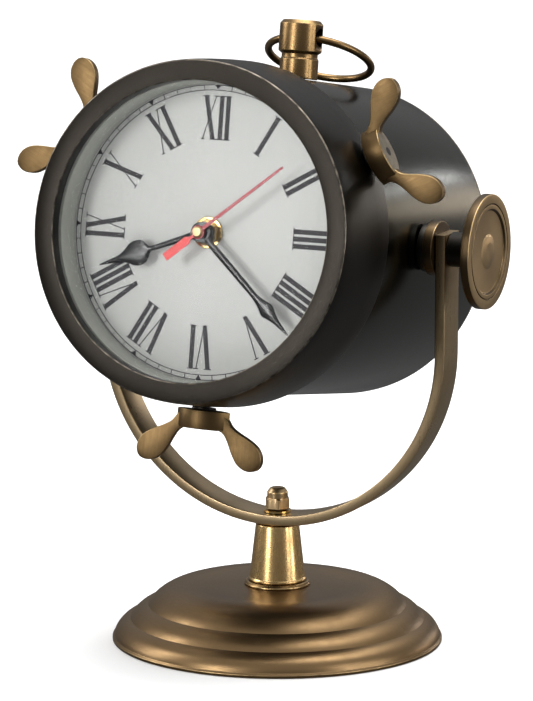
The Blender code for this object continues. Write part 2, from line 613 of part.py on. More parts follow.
def make_train(head):
    """The going train from the motor's rotor to the three hands, and the wheel that sets them."""
    arbor = rod_profile(ARBOR_R, ARBOR_LOW, ARBOR_HIGH)
    shaft = [(0, SECOND_HAND_Y - 0.4), (SECOND_SHAFT_R, SECOND_HAND_Y - 0.4),
             (SECOND_SHAFT_R, layer(2) + WHEEL_THICK), (ARBOR_R, layer(2) + WHEEL_THICK),
             (ARBOR_R, ARBOR_HIGH), (0, ARBOR_HIGH)]
    make_wheel("second_wheel", "bright_brass", head, CENTRE, shaft,
               [(6, 0.36, 3, -75), (36, 0.44, 4, -135)])
    make_wheel("third_wheel", "bright_brass", head, THIRD, arbor,
               [(45, 0.36, 3, gap_towards(105, 45)), (6, THIRD_MODULE, 2, 105)])

    cannon = [(MINUTE_TUBE[0], MINUTE_HAND_Y - 0.3), (MINUTE_TUBE[0], layer(0) + WHEEL_THICK),
              (1.7, layer(0) + WHEEL_THICK), (1.7, layer(2) + WHEEL_THICK),
              (MINUTE_TUBE[1], layer(2) + WHEEL_THICK), (MINUTE_TUBE[1], MINUTE_HAND_Y - 0.3)]
    make_wheel("minute_wheel", "bright_brass", head, CENTRE, cannon,
               [(48, THIRD_MODULE, 2, gap_towards(-75, 48)), (8, 0.6, 1, 100)], MINUTE_TUBE[1])
    make_wheel("intermediate_wheel", "bright_brass", head, INTERMEDIATE, arbor,
               [(24, 0.6, 1, gap_towards(-80, 24)), (8, 0.48, 0, -80)])
    make_wheel("hour_wheel", "bright_brass", head, CENTRE,
               tube_profile(*HOUR_TUBE, HOUR_HAND_Y - 0.3, layer(0) + WHEEL_THICK),
               [(32, 0.48, 0, gap_towards(100, 32))], HOUR_TUBE[1])

    stem = MOVEMENT_BACK_Y + GAP + MOVEMENT_COVER + GAP
    knob_r, knob_h = KNOB_HEAD
    knob = [(0, ARBOR_LOW), (ARBOR_R, ARBOR_LOW), (ARBOR_R, layer(3)), (KNOB_STEM_R, layer(3)),
            (KNOB_STEM_R, stem), (knob_r, stem), (knob_r, stem + knob_h), (0, stem + knob_h)]
    make_wheel("setting_knob", "white_plastic", head, SETTING, knob, [(12, 0.6, 1, gap_towards(-30, 12))])

    make_wheel("fifth_wheel", "white_plastic", head, FIFTH, arbor,
               [(6, 0.44, 4, gap_towards(45, 6)), (30, 0.34, 5, 180)])
    magnet_low = layer(6) - 0.4
    magnet_high = layer(7) + 0.6
    magnet = [(0, ARBOR_LOW), (ARBOR_R, ARBOR_LOW), (ARBOR_R, magnet_low), (MAGNET_R, magnet_low),
              (MAGNET_R, magnet_high), (ARBOR_R, magnet_high), (ARBOR_R, ARBOR_HIGH), (0, ARBOR_HIGH)]
    make_wheel("motor_rotor", "steel", head, ROTOR, magnet, [(6, 0.34, 5, gap_towards(0, 6))])


def make_movement(head):
    half = MOVEMENT_HALF
    front = MOVEMENT_FRONT_Y
    back = MOVEMENT_BACK_Y
    inner = half - MOVEMENT_WALL
    housing = solid("movement_housing", box((-half, front, -half), (half, back, half)), "black_plastic",
                    head)
    combine(housing, box((-inner, front + MOVEMENT_WALL, -inner), (inner, back + 5, inner)), "DIFFERENCE",
            "cavity")
    bush = revolve(rod_profile(BUSH_R, DIAL_Y - BUSH_ABOVE_DIAL, front + MOVEMENT_WALL / 2), "Y", 24)
    combine(housing, bush, "UNION", "bush")
    combine(housing, revolve(rod_profile(HOUR_TUBE[0] + FINE, DIAL_Y - 15, front + 5), "Y", 20),
            "DIFFERENCE", "bush_bore")

    low = back + GAP
    cover = solid("movement_cover", box((-half, low, -half), (half, low + MOVEMENT_COVER, half)),
                  "black_plastic", head)
    knob_hole = revolve(rod_profile(KNOB_STEM_R + GAP, low - 5, low + 5), "Y", 16)
    bmesh.ops.translate(knob_hole, verts=knob_hole.verts, vec=Vector((SETTING[0], 0, SETTING[1])) * MM)
    combine(cover, knob_hole, "DIFFERENCE", "knob_hole")
    bay_half, bay_low, bay_high = BATTERY_BAY
    bay = box((BATTERY_X - bay_half, low - 5, bay_low), (BATTERY_X + bay_half, low + 5, bay_high))
    combine(cover, bay, "DIFFERENCE", "battery_bay")

    dial_back = DIAL_Y + DIAL_THICK
    rubber = tube_profile(RUBBER_R, BUSH_R + FINE, dial_back + GAP, front - GAP)
    solid("rubber_washer", revolve(rubber, "Y", 20), "rubber", head)
    washer_r, washer_thick = FIXING_WASHER
    washer_low = DIAL_Y - GAP - washer_thick
    washer = tube_profile(washer_r, BUSH_R + FINE, washer_low, DIAL_Y - GAP)
    solid("fixing_washer", revolve(washer, "Y", 24), "bright_brass", head)
    flats, nut_thick = FIXING_NUT
    nut_high = washer_low - GAP
    hex_nut("fixing_nut", "bright_brass", flats, nut_high - nut_thick, nut_high, BUSH_R + FINE, "Y", head)


def make_electrics(head):
    """The stepping motor's coil and stator, the circuit board, and the battery with its contacts."""
    plate = layer(6)
    stator = solid("motor_stator", box((-23.5, plate, -25.0), (-9.0, plate + 1.0, 5.0)), "steel", head)
    combine(stator, box((-20.5, plate - 2, -22.0), (-16.6, plate + 3, 2.0)), "DIFFERENCE", "window")
    rotor_hole = revolve(rod_profile(3.0, plate - 3, plate + 4), "Y", 20)
    bmesh.ops.translate(rotor_hole, verts=rotor_hole.verts, vec=Vector((ROTOR[0], 0, ROTOR[1])) * MM)
    combine(stator, rotor_hole, "DIFFERENCE", "rotor_hole")
    coil = solid("motor_coil", box((-26.2, plate - 2.4, -20.0), (-17.2, plate + 3.4, 0.0)), "copper", head)
    combine(coil, box((-23.9, plate - 0.4, -30.0), (-20.1, plate + 1.4, 10.0)), "DIFFERENCE", "core_hole")
    solid("circuit_board", box((-26.0, plate - 0.6, 7.0), (-17.0, plate + 0.4, 25.0)), "board_green", head)

    middle = (MOVEMENT_FRONT_Y + MOVEMENT_WALL + MOVEMENT_BACK_Y) / 2
    foot, shoulder, tip = BATTERY_ENDS
    cell = [(0, foot), (BATTERY_R, foot), (BATTERY_R, shoulder), (BATTERY_TIP_R, shoulder),
            (BATTERY_TIP_R, tip), (0, tip)]
    solid("battery", revolve(cell, "Z", 24), "battery_jacket", head, at=(BATTERY_X, middle, 0))
    half_x, half_y = CONTACT_HALF
    for name, z in CONTACTS.items():
        contact = box((BATTERY_X - half_x, middle - half_y, z),
                      (BATTERY_X + half_x, middle + half_y, z + CONTACT_THICK))
        solid(f"battery_contact_{name}", contact, "steel", head)


# ---------------------------------------------------------------- hands

def make_hand(name, finish, head, angle, y, outline, hub_r, bore):
    """A flat hand pointing at an angle clockwise from twelve, with a round hub on its tube."""
    blade = extrude(outline, y, y + HAND_THICK, "Y")
    hand = solid(name, blade, finish, head, turn=(0, angle, 0))
    combine(hand, revolve(rod_profile(hub_r, y, y + HAND_THICK), "Y", 20), "UNION", "hub")
    combine(hand, revolve(rod_profile(bore, y - 5, y + 5), "Y", 20), "DIFFERENCE", "bore")


def mirrored(side):
    """A hand's outline from its right-hand side, as (half width, distance from the centre)."""
    return side + [(-width, along) for width, along in reversed(side)]


def make_hands(head):
    bulb_at, bulb_r = HOUR_BULB
    bulb = circle(bulb_r, 10, (0, bulb_at), math.radians(-75), math.radians(150))
    hour = HOUR_SIDE[0] + bulb + HOUR_SIDE[1]
    make_hand("hour_hand", "black_paint", head, HOUR_ANGLE, HOUR_HAND_Y, mirrored(hour), HOUR_HUB_R,
              HOUR_TUBE[0] + FINE)
    make_hand("minute_hand", "black_paint", head, MINUTE_ANGLE, MINUTE_HAND_Y, mirrored(MINUTE_SIDE),
              MINUTE_HUB_R, MINUTE_TUBE[0] + FINE)

    needle = extrude(mirrored(SECOND_SIDE), SECOND_HAND_Y, SECOND_HAND_Y + HAND_THICK, "Y")
    hand = solid("second_hand", needle, "red_paint", head, turn=(0, SECOND_ANGLE, 0))
    cap_front, cap_back, hub_back, neck_back = (SECOND_HAND_Y + y for y in (-1.2, -0.3, 0.9, 1.7))
    cap = [(0, cap_front), (CAP_R, cap_front), (CAP_R, cap_back), (SECOND_HUB_R, cap_back),
           (SECOND_HUB_R, hub_back), (SECOND_NECK_R, hub_back), (SECOND_NECK_R, neck_back), (0, neck_back)]
    combine(hand, revolve(cap, "Y", 16), "UNION", "cap")
    combine(hand, revolve(rod_profile(SECOND_SHAFT_R + FINE, SECOND_HAND_Y - 0.7, SECOND_HAND_Y + 5),
                          "Y", 16), "DIFFERENCE", "bore")


def main():
    clear_scene()
    make_stand()
    make_yoke()
    head = empty("case_axis", (0, 0, PIVOT_Z), (-CASE_TILT, 0, 0))
    make_front_ring(head)
    make_case(head)
    make_front_fittings(head)
    make_wing_nuts(head)
    make_pivots(head)
    make_hanging_ring(head)
    make_movement(head)
    make_train(head)
    make_electrics(head)
    make_hands(head)


main()
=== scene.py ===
"""Ship's deck clock: the looks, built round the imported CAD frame.

Shapes are drawn in millimetres. Case pieces are drawn round the case's own axis (Y, front towards -Y)
and placed by the case's matrix; stand pieces are drawn in the object's own frame.
"""
import json
import math

import bmesh
import bpy
from mathutils import Matrix, Vector


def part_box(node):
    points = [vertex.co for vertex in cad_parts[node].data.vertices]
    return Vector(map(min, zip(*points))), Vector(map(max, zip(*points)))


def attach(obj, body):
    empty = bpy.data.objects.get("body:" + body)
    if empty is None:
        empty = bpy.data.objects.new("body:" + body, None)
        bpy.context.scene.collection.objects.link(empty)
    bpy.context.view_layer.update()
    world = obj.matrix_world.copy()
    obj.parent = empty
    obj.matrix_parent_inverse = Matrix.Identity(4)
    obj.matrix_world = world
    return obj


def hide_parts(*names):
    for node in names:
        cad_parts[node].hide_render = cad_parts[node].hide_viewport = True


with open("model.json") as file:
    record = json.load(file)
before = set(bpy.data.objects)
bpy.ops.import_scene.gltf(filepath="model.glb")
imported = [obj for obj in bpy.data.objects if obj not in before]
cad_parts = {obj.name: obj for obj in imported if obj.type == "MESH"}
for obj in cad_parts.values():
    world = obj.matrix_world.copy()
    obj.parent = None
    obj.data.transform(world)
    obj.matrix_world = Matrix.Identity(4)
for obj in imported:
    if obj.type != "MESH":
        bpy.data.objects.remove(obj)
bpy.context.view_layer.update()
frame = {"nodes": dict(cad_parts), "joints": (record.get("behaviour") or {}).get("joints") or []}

MM = 0.001
JOINTS = {joint["name"]: joint for joint in frame["joints"]}


# ------------ frames and sizes read from the CAD

def joint_point(name):
    return Vector(JOINTS[name]["pos_m"])


def node_width(name):
    """A node's extent along X in millimetres: the diameter of a piece that is round about the case's axis."""
    low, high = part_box(name)
    return (high.x - low.x) / MM


CASE_LINE = Vector(JOINTS["rear_cover_pull"]["axis"])
CASE_TILT = math.atan2(-CASE_LINE.z, CASE_LINE.y)
PIVOT = joint_point("head_tilt")
CASE = Matrix.Translation(PIVOT) @ Matrix.Rotation(-CASE_TILT, 4, "X")
UPRIGHT = Matrix.Identity(4)

DRUM_R = node_width("case_drum") / 2
RING_BACK_R = node_width("front_ring") / 2
BASE_R = node_width("base_shell") / 2
YOKE_R = node_width("yoke") / 2
YOKE_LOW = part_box("yoke")[0].z / MM
YOKE_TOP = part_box("yoke")[1].z / MM
YOKE_WIDTH = (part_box("yoke")[1].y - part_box("yoke")[0].y) / MM
KNOB_FACE_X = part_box("tilt_knob_right")[1].x / MM
BASE_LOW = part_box("base_shell")[0].z / MM
BASE_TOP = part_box("base_shell")[1].z / MM

# Stations along the case's axis, from the front ring's face to the rear cover
RING_FRONT_Y = -105.95
RING_BACK_Y = -58.8
GLASS_Y = -98.65
DIAL_Y = -82.25
CASE_BACK_Y = 84.15
RING_FRONT_R = 82.5
RING_OPENING_R = 72.6


# ------------ mesh tools

def make(name, bm, place, body, replaces=(), sharp=40):
    """Write a bmesh drawn in millimetres to an object placed by a matrix, riding on a body."""
    bmesh.ops.scale(bm, vec=(MM, MM, MM), verts=bm.verts)
    bmesh.ops.recalc_face_normals(bm, faces=bm.faces)
    mesh = bpy.data.meshes.new(name)
    bm.to_mesh(mesh)
    bm.free()
    mesh.shade_smooth()
    mesh.set_sharp_from_angle(angle=math.radians(sharp))
    item = bpy.data.objects.new(name, mesh)
    bpy.context.scene.collection.objects.link(item)
    item.matrix_world = place
    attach(item, body)
    for node in replaces:
        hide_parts(node)
    return item


def fillet(outline, steps=4):
    """Round the corners of a closed outline of (u, v, radius) points; returns (u, v, wear) points.

    Wear is 1 on a rounded corner and 0 elsewhere, so that a material can rub through along edges."""
    rounded = []
    count = len(outline)
    for index, (u, v, radius) in enumerate(outline):
        before = Vector(outline[index - 1][:2])
        after = Vector(outline[(index + 1) % count][:2])
        corner = Vector((u, v))
        if radius <= 0:
            rounded.append((u, v, 0.0))
            continue
        into = (before - corner).normalized()
        out = (after - corner).normalized()
        angle = math.acos(max(-1.0, min(1.0, into.dot(out))))
        reach = radius / math.tan(angle / 2)
        limit = 0.45 * min((before - corner).length, (after - corner).length)
        if reach > limit:
            radius *= limit / reach
            reach = limit
        start = corner + into * reach
        end = corner + out * reach
        centre = corner + (into + out).normalized() * (radius / math.sin(angle / 2))
        for step in range(steps + 1):
            t = step / steps
            point = start.lerp(end, t)
            point = centre + (point - centre).normalized() * radius
            rounded.append((point.x, point.y, 1.0 if 0 < step < steps else 0.0))
    return rounded


def on_axis(axis, radius, along, angle):
    """A point at an angle round the axis."""
    c = radius * math.cos(angle)
    s = radius * math.sin(angle)
    return {"X": (along, c, s), "Y": (c, along, s), "Z": (c, s, along)}[axis]


def lathe(outline, axis="Z", steps=160, corner_steps=4):
    """Turn a closed outline of (radius, along, corner radius) about an axis; radius 0 lies on the axis."""
    profile = fillet(outline, corner_steps)
    bm = bmesh.new()
    wear = bm.verts.layers.float.new("wear")
    columns = []
    for radius, along, worn in profile:
        turns = 1 if radius < 0.0001 else steps
        column = []
        for step in range(turns):
            vert = bm.verts.new(on_axis(axis, radius, along, math.tau * step / steps))
            vert[wear] = worn
            column.append(vert)
        columns.append(column)
    for first, second in zip(columns, columns[1:] + columns[:1]):
        if len(first) == 1 and len(second) == 1:
            continue
        for step in range(steps):
            ring = [first[step % len(first)], first[(step + 1) % len(first)],
                    second[(step + 1) % len(second)], second[step % len(second)]]
            face = []
            for vert in ring:
                if vert not in face:
                    face.append(vert)
            bm.faces.new(face)
    return bm


def skin(bm, rows):
    """Join each closed row of verts to the next with quads."""
    for first, second in zip(rows, rows[1:]):
        for index in range(len(first)):
            after = (index + 1) % len(first)
            bm.faces.new((first[index], first[after], second[after], second[index]))


def plate(outline, low, high, axis="Y", edge=0.2, edge_steps=2):
    """A flat piece: an outline of (u, v) points carried along the axis, its edges rounded by insetting."""
    def point(u, v, along):
        return {"X": (along, u, v), "Y": (u, along, v), "Z": (u, v, along)}[axis]

    bm = bmesh.new()
    face = bm.faces.new([bm.verts.new(point(u, v, low)) for u, v in outline])
    carried = bmesh.ops.extrude_face_region(bm, geom=[face])["geom"]
    shift = Vector(point(0, 0, high - low))
    bmesh.ops.translate(bm, verts=[part for part in carried if isinstance(part, bmesh.types.BMVert)],
                        vec=shift)
    wear = bm.verts.layers.float.new("wear")
    rims = [rim for rim in bm.edges if abs((rim.verts[0].co - rim.verts[1].co).dot(shift)) < 1e-6]
    made = bmesh.ops.bevel(bm, geom=rims, offset=edge, segments=edge_steps, profile=0.5,
                           affect="EDGES", clamp_overlap=True)
    index = "XYZ".index(axis)
    for vert in made["verts"]:
        depth = min(abs(vert.co[index] - low), abs(vert.co[index] - high))
        vert[wear] = 1.0 if 0.01 * edge < depth < 0.95 * edge else 0.0
    return bm


def arc(centre, radius, start, end, steps):
    """Points along an arc between two angles in degrees, both ends included."""
    return [(centre[0] + radius * math.cos(math.radians(start + (end - start) * step / steps)),
             centre[1] + radius * math.sin(math.radians(start + (end - start) * step / steps)))
            for step in range(steps + 1)]


def curve_through(points, steps):
    """A smooth curve through a few points of any dimension, with the end points kept."""
    points = [Vector(point) for point in points]
    padded = [points[0] * 2 - points[1]] + points + [points[-1] * 2 - points[-2]]
    smooth = []
    for a, b, c, d in zip(padded, padded[1:], padded[2:], padded[3:]):
        for step in range(steps):
            t = step / steps
            smooth.append(0.5 * (2 * b + (c - a) * t + (2 * a - 5 * b + 4 * c - d) * t * t
                                 + (3 * b - a - 3 * c + d) * t ** 3))
    return smooth + [points[-1]]


def gather(*meshes):
    """Several bmeshes in one; the pieces stay separate shells."""
    whole = bmesh.new()
    whole.verts.layers.float.new("wear")
    for bm in meshes:
        piece = bpy.data.meshes.new("piece")
        bm.to_mesh(piece)
        bm.free()
        whole.from_mesh(piece)
        bpy.data.meshes.remove(piece)
    return whole


# ------------ materials

class Nodes:
    """Short names for building a node material."""

    def __init__(self, name):
        self.material = bpy.data.materials.new(name)
        self.material.use_nodes = True
        self.tree = self.material.node_tree
        self.shader = self.tree.nodes["Principled BSDF"]

    def add(self, kind, **settings):
        node = self.tree.nodes.new(kind)
        for key, value in settings.items():
            setattr(node, key, value)
        return node

    def link(self, source, target):
        self.tree.links.new(source, target)

    def put(self, socket, value):
        """Set a socket from a number, a colour or another socket."""
        if isinstance(value, bpy.types.NodeSocket):
            self.link(value, socket)
        else:
            socket.default_value = value

    def math(self, operation, first, second=0.0, clamp=False):
        node = self.add("ShaderNodeMath", operation=operation, use_clamp=clamp)
        self.put(node.inputs[0], first)
        self.put(node.inputs[1], second)
        return node.outputs[0]

    def noise(self, vector, scale, detail=3.0, roughness=0.55):
        node = self.add("ShaderNodeTexNoise")
        self.link(vector, node.inputs["Vector"])
        node.inputs["Scale"].default_value = scale
        node.inputs["Detail"].default_value = detail
        node.inputs["Roughness"].default_value = roughness
        return node.outputs["Fac"]

    def spread(self, value, low, high, to_low=0.0, to_high=1.0):
        node = self.add("ShaderNodeMapRange")
        self.link(value, node.inputs["Value"])
        for socket, number in zip(("From Min", "From Max", "To Min", "To Max"), (low, high, to_low, to_high)):
            node.inputs[socket].default_value = number
        return node.outputs["Result"]

    def mix(self, factor, first, second):
        node = self.add("ShaderNodeMix", data_type="RGBA")
        self.put(node.inputs["Factor"], factor)
        self.put(node.inputs["A"], first if isinstance(first, bpy.types.NodeSocket) else (*first, 1.0))
        self.put(node.inputs["B"], second if isinstance(second, bpy.types.NodeSocket) else (*second, 1.0))
        return node.outputs["Result"]

    def object_point(self):
        return self.add("ShaderNodeTexCoord").outputs["Object"]

    def scaled(self, vector, scale):
        node = self.add("ShaderNodeMapping")
        self.link(vector, node.inputs["Vector"])
        node.inputs["Scale"].default_value = scale
        return node.outputs["Vector"]

    def round_point(self, axis, turn_scale):
        """Object point as (cos, sin, radius + along): streaks of it run round the axis."""
        split = self.add("ShaderNodeSeparateXYZ")
        self.link(self.object_point(), split.inputs[0])
        across = {"X": ("Y", "Z"), "Y": ("X", "Z"), "Z": ("X", "Y")}[axis]
        first, second = split.outputs[across[0]], split.outputs[across[1]]
        radius = self.math("SQRT", self.math("ADD", self.math("MULTIPLY", first, first),
                                             self.math("MULTIPLY", second, second)))
        radius = self.math("MAXIMUM", radius, 0.0001)
        join = self.add("ShaderNodeCombineXYZ")
        self.link(self.math("MULTIPLY", self.math("DIVIDE", first, radius), turn_scale), join.inputs["X"])
        self.link(self.math("MULTIPLY", self.math("DIVIDE", second, radius), turn_scale), join.inputs["Y"])
        self.link(self.math("ADD", radius, split.outputs[axis]), join.inputs["Z"])
        return join.outputs[0]


def metal(name, colour, patina, roughness, brush, streak=0.25, cloud=60.0, worn=None, bump=0.02,
          anisotropy=0.0, patina_share=0.5, rough_swing=0.08, clouding=0.35):
    """Aged metal: a base colour clouded with patina, brushed one way, rubbed bright along worn edges.

    brush is "X", "Y" or "Z" for streaks round that axis, or "along_x/y/z" for straight ones."""
    n = Nodes(name)
    if brush in ("X", "Y", "Z"):
        vector = n.round_point(brush, 0.004)
    else:
        stretch = [1.0, 1.0, 1.0]
        stretch["xyz".index(brush[-1])] = 0.02
        vector = n.scaled(n.object_point(), stretch)
    fine = n.noise(vector, 1.0 / (streak * MM), 4.0, 0.7)
    clouds = n.noise(n.object_point(), cloud, 5.0, 0.6)
    aged = n.spread(clouds, 0.25, 0.75, patina_share - clouding, patina_share + clouding)
    mixed = n.mix(aged, colour, patina)
    darker = n.mix(n.spread(fine, 0.3, 0.7, 0.0, 0.35), mixed, patina)
    tint = darker
    if worn:
        edge = n.add("ShaderNodeAttribute", attribute_name="wear").outputs["Fac"]
        rub = n.noise(n.object_point(), 220.0, 3.0, 0.6)
        amount = n.math("MULTIPLY", edge, n.spread(rub, 0.35, 0.6, 0.15, 0.9), clamp=True)
        tint = n.mix(amount, darker, worn)
    n.link(tint, n.shader.inputs["Base Color"])
    rough = n.math("ADD", n.spread(fine, 0.25, 0.75, roughness - rough_swing, roughness + rough_swing),
                   n.spread(clouds, 0.3, 0.7, -0.13 * clouding, 0.14 * clouding))
    n.link(rough, n.shader.inputs["Roughness"])
    n.shader.inputs["Metallic"].default_value = 1.0
    if anisotropy:
        n.shader.inputs["Anisotropic"].default_value = anisotropy
        if brush in ("X", "Y", "Z"):
            tangent = n.add("ShaderNodeTangent", direction_type="RADIAL", axis=brush)
            n.link(tangent.outputs[0], n.shader.inputs["Tangent"])
    relief = n.add("ShaderNodeBump")
    relief.inputs["Strength"].default_value = 0.35
    relief.inputs["Distance"].default_value = bump * MM
    n.link(fine, relief.inputs["Height"])
    n.link(relief.outputs[0], n.shader.inputs["Normal"])
    return n.material


def plain(name, colour, roughness, metallic=0.0, grain=400.0, swing=0.06, tone=0.12, bump=0.01):
    """Paint, plastic, rubber and the like: a slight grain in tone, roughness and relief."""
    n = Nodes(name)
    grains = n.noise(n.object_point(), grain, 4.0, 0.6)
    darker = tuple(channel * (1 - tone) for channel in colour)
    n.link(n.mix(n.spread(grains, 0.35, 0.65), darker, colour), n.shader.inputs["Base Color"])
    n.link(n.spread(grains, 0.3, 0.7, roughness - swing, roughness + swing), n.shader.inputs["Roughness"])
    n.shader.inputs["Metallic"].default_value = metallic
    relief = n.add("ShaderNodeBump")
    relief.inputs["Strength"].default_value = 0.3
    relief.inputs["Distance"].default_value = bump * MM
    n.link(grains, relief.inputs["Height"])
    n.link(relief.outputs[0], n.shader.inputs["Normal"])
    return n.material


def dial_paint():
    """Off-white lacquer over a fine linen-like brushing that runs both ways."""
    n = Nodes("dial_paint")
    across = n.noise(n.scaled(n.object_point(), (0.03, 1.0, 1.0)), 3500.0, 3.0, 0.6)
    down = n.noise(n.scaled(n.object_point(), (1.0, 1.0, 0.03)), 3500.0, 3.0, 0.6)
    weave = n.math("MULTIPLY", n.math("ADD", across, down), 0.5)
    tint = n.mix(n.spread(weave, 0.4, 0.6), (0.44, 0.447, 0.428), (0.50, 0.507, 0.487))
    n.link(tint, n.shader.inputs["Base Color"])
    n.link(n.spread(weave, 0.35, 0.65, 0.38, 0.52), n.shader.inputs["Roughness"])
    n.shader.inputs["Metallic"].default_value = 0.15
    relief = n.add("ShaderNodeBump")
    relief.inputs["Strength"].default_value = 0.25
    relief.inputs["Distance"].default_value = 0.01 * MM
    n.link(weave, relief.inputs["Height"])
    n.link(relief.outputs[0], n.shader.inputs["Normal"])
    return n.material


def glass():
    """Thin clear mineral glass: almost fully see-through, with its gloss."""
    n = Nodes("crystal_glass")
    smear = n.noise(n.object_point(), 30.0, 4.0, 0.6)
    n.link(n.spread(smear, 0.3, 0.7, 0.01, 0.05), n.shader.inputs["Roughness"])
    n.shader.inputs["Base Color"].default_value = (0.1, 0.11, 0.11, 1.0)
    n.shader.inputs["Alpha"].default_value = 0.03
    n.shader.inputs["Specular IOR Level"].default_value = 0.5
    return n.material


GUNMETAL = (0.115, 0.103, 0.085)
GUNMETAL_DARK = (0.050, 0.045, 0.038)
BRASS = (0.34, 0.215, 0.092)
BRASS_DARK = (0.11, 0.066, 0.03)
BRASS_WORN = (0.55, 0.39, 0.19)

MATERIALS = {
    "ring_face": metal("dark_bronze_ring", (0.026, 0.023, 0.019), (0.0105, 0.009, 0.0078), 0.33, "Y", 0.14,
                       14.0, worn=(0.24, 0.21, 0.17), anisotropy=0.65, clouding=0.15, bump=0.035),
    "drum": metal("dark_bronze_drum", (0.036, 0.0375, 0.028), (0.018, 0.019, 0.014), 0.20, "Y", 0.3, 12.0,
                  worn=(0.30, 0.23, 0.15), anisotropy=0.5, rough_swing=0.05, clouding=0.15),
    "cover": metal("dark_bronze_cover", GUNMETAL, GUNMETAL_DARK, 0.42, "Y", 0.3, 25.0,
                   worn=(0.30, 0.23, 0.15), anisotropy=0.5),
    "brass_z": metal("aged_brass_turned", BRASS, BRASS_DARK, 0.30, "Z", 0.3, 90.0, worn=BRASS_WORN,
                     anisotropy=0.3),
    "brass_x": metal("aged_brass_knob", (0.62, 0.44, 0.24), (0.42, 0.29, 0.155), 0.36, "X", 0.2, 60.0,
                     worn=BRASS_WORN, anisotropy=0.3, clouding=0.2),
    # Dark brass used as painted shade on the knob rims' sides, in the grooves of the knob faces and on the
    # pivot spacers.
    "brass_painted_shade": metal("brass_painted_shade_metal", (0.12, 0.078, 0.038), (0.05, 0.034, 0.019), 0.36, "X", 0.25, 60.0,
                        worn=(0.35, 0.25, 0.13), clouding=0.25),
    "brass_wing": metal("aged_brass_cast", (0.19, 0.122, 0.055), (0.08, 0.05, 0.022), 0.42, "along_z", 0.3,
                        120.0, worn=BRASS_WORN, patina_share=0.35, clouding=0.25, bump=0.05),
    "cast_face": metal("brass_sand_cast", (0.30, 0.265, 0.21), (0.17, 0.145, 0.11), 0.5, "along_z", 0.6,
                       300.0, bump=0.12),
    "brass_yoke": metal("aged_brass_strap", (0.68, 0.51, 0.30), (0.33, 0.235, 0.13), 0.32, "along_z", 0.3,
                        60.0, worn=(0.62, 0.46, 0.27), clouding=0.25),
    "bronze_base": metal("stand_bronze", (0.27, 0.175, 0.086), (0.13, 0.082, 0.04), 0.33, "Z", 0.3, 14.0,
                         worn=(0.5, 0.35, 0.17), anisotropy=0.35, clouding=0.12, rough_swing=0.05),
    "brass_post": metal("post_brass", (0.93, 0.66, 0.30), (0.42, 0.25, 0.10), 0.27, "along_z", 0.4, 110.0,
                        worn=BRASS_WORN, rough_swing=0.1),
    "bright_brass": metal("movement_brass", (0.80, 0.58, 0.24), (0.5, 0.34, 0.13), 0.2, "Y", 0.3, 150.0,
                          patina_share=0.3),
    # Dark steel: real blackening on the studs; on the knob stems and pivot washers its dark is also painted
    # shade.
    "blackened": metal("dark_steel_and_painted_shade", (0.045, 0.04, 0.035), (0.02, 0.018, 0.016), 0.38, "Z", 0.3, 90.0,
                       worn=(0.16, 0.13, 0.1)),
    "steel": metal("plain_steel", (0.5, 0.5, 0.49), (0.3, 0.3, 0.3), 0.3, "Y", 0.3, 90.0),
    "cast_iron": metal("cast_iron", (0.16, 0.16, 0.16), (0.08, 0.08, 0.08), 0.6, "Z", 1.2, 90.0, bump=0.2),
    "copper": metal("copper_winding", (0.7, 0.32, 0.16), (0.4, 0.16, 0.08), 0.32, "along_x", 0.3, 90.0),
    "dial": dial_paint(),
    "print": plain("dial_print", (0.011, 0.007, 0.013), 0.5, tone=0.3),
    "spacer": plain("spacer_grey", (0.36, 0.37, 0.33), 0.42, 0.35),
    "hand_black": plain("hand_black", (0.012, 0.012, 0.013), 0.22, tone=0.3, swing=0.04),
    "needle_red": plain("needle_red", (0.32, 0.010, 0.018), 0.3, tone=0.15),
    "hand_red": plain("hand_red", (0.62, 0.018, 0.016), 0.32, tone=0.1),
    "black_plastic": plain("black_plastic", (0.03, 0.03, 0.03), 0.5),
    "white_plastic": plain("white_plastic", (0.78, 0.77, 0.74), 0.4),
    "shadow": plain("bore_shadow", (0.006, 0.005, 0.005), 0.8),
    "rubber": plain("gasket_rubber", (0.02, 0.02, 0.02), 0.7),
    "board": plain("board_green", (0.03, 0.16, 0.07), 0.4),
    "jacket": plain("battery_jacket", (0.08, 0.1, 0.24), 0.35, 0.3),
    "felt": plain("felt", (0.015, 0.045, 0.028), 0.95, grain=1800.0, tone=0.5, bump=0.2),
    "glass": glass(),
}


def paint(item, *names):
    item.data.materials.clear()
    for name in names:
        item.data.materials.append(MATERIALS[name])


# ------------ stand

BASE_GROOVES = [(38.0, 28.0), (55.5, 26.0), (65.6, 18.2), (74.7, 11.2), (83.0, 2.8)]
BASE_BULGES = (1.0, 0.9, 1.0, 1.5)
PAD_RECESS_R = 80.3
ROD_HOLE_R = 2.3
YOKE_THICK = 5.2
ARM_STEPS = 6
BEND_STEPS = 72
ACORN_FLAT = 5.75       # from the nut's axis to a flat
ACORN_FOOT_R = 4.7      # verts nearer the axis than this keep their place
ACORN_HEX_TOP = 6.2
FLAT_TURN = math.radians(60)
HALF_FLAT_TURN = math.radians(30)


def swell(start, end, bulge, steps):
    """Points from start to end along an arc that stands out to the left of the way by the bulge."""
    start, end = Vector(start), Vector(end)
    out = Vector((start.y - end.y, end.x - start.x)).normalized()
    return [start.lerp(end, step / steps) + out * bulge * 4 * step / steps * (1 - step / steps)
            for step in range(steps)]


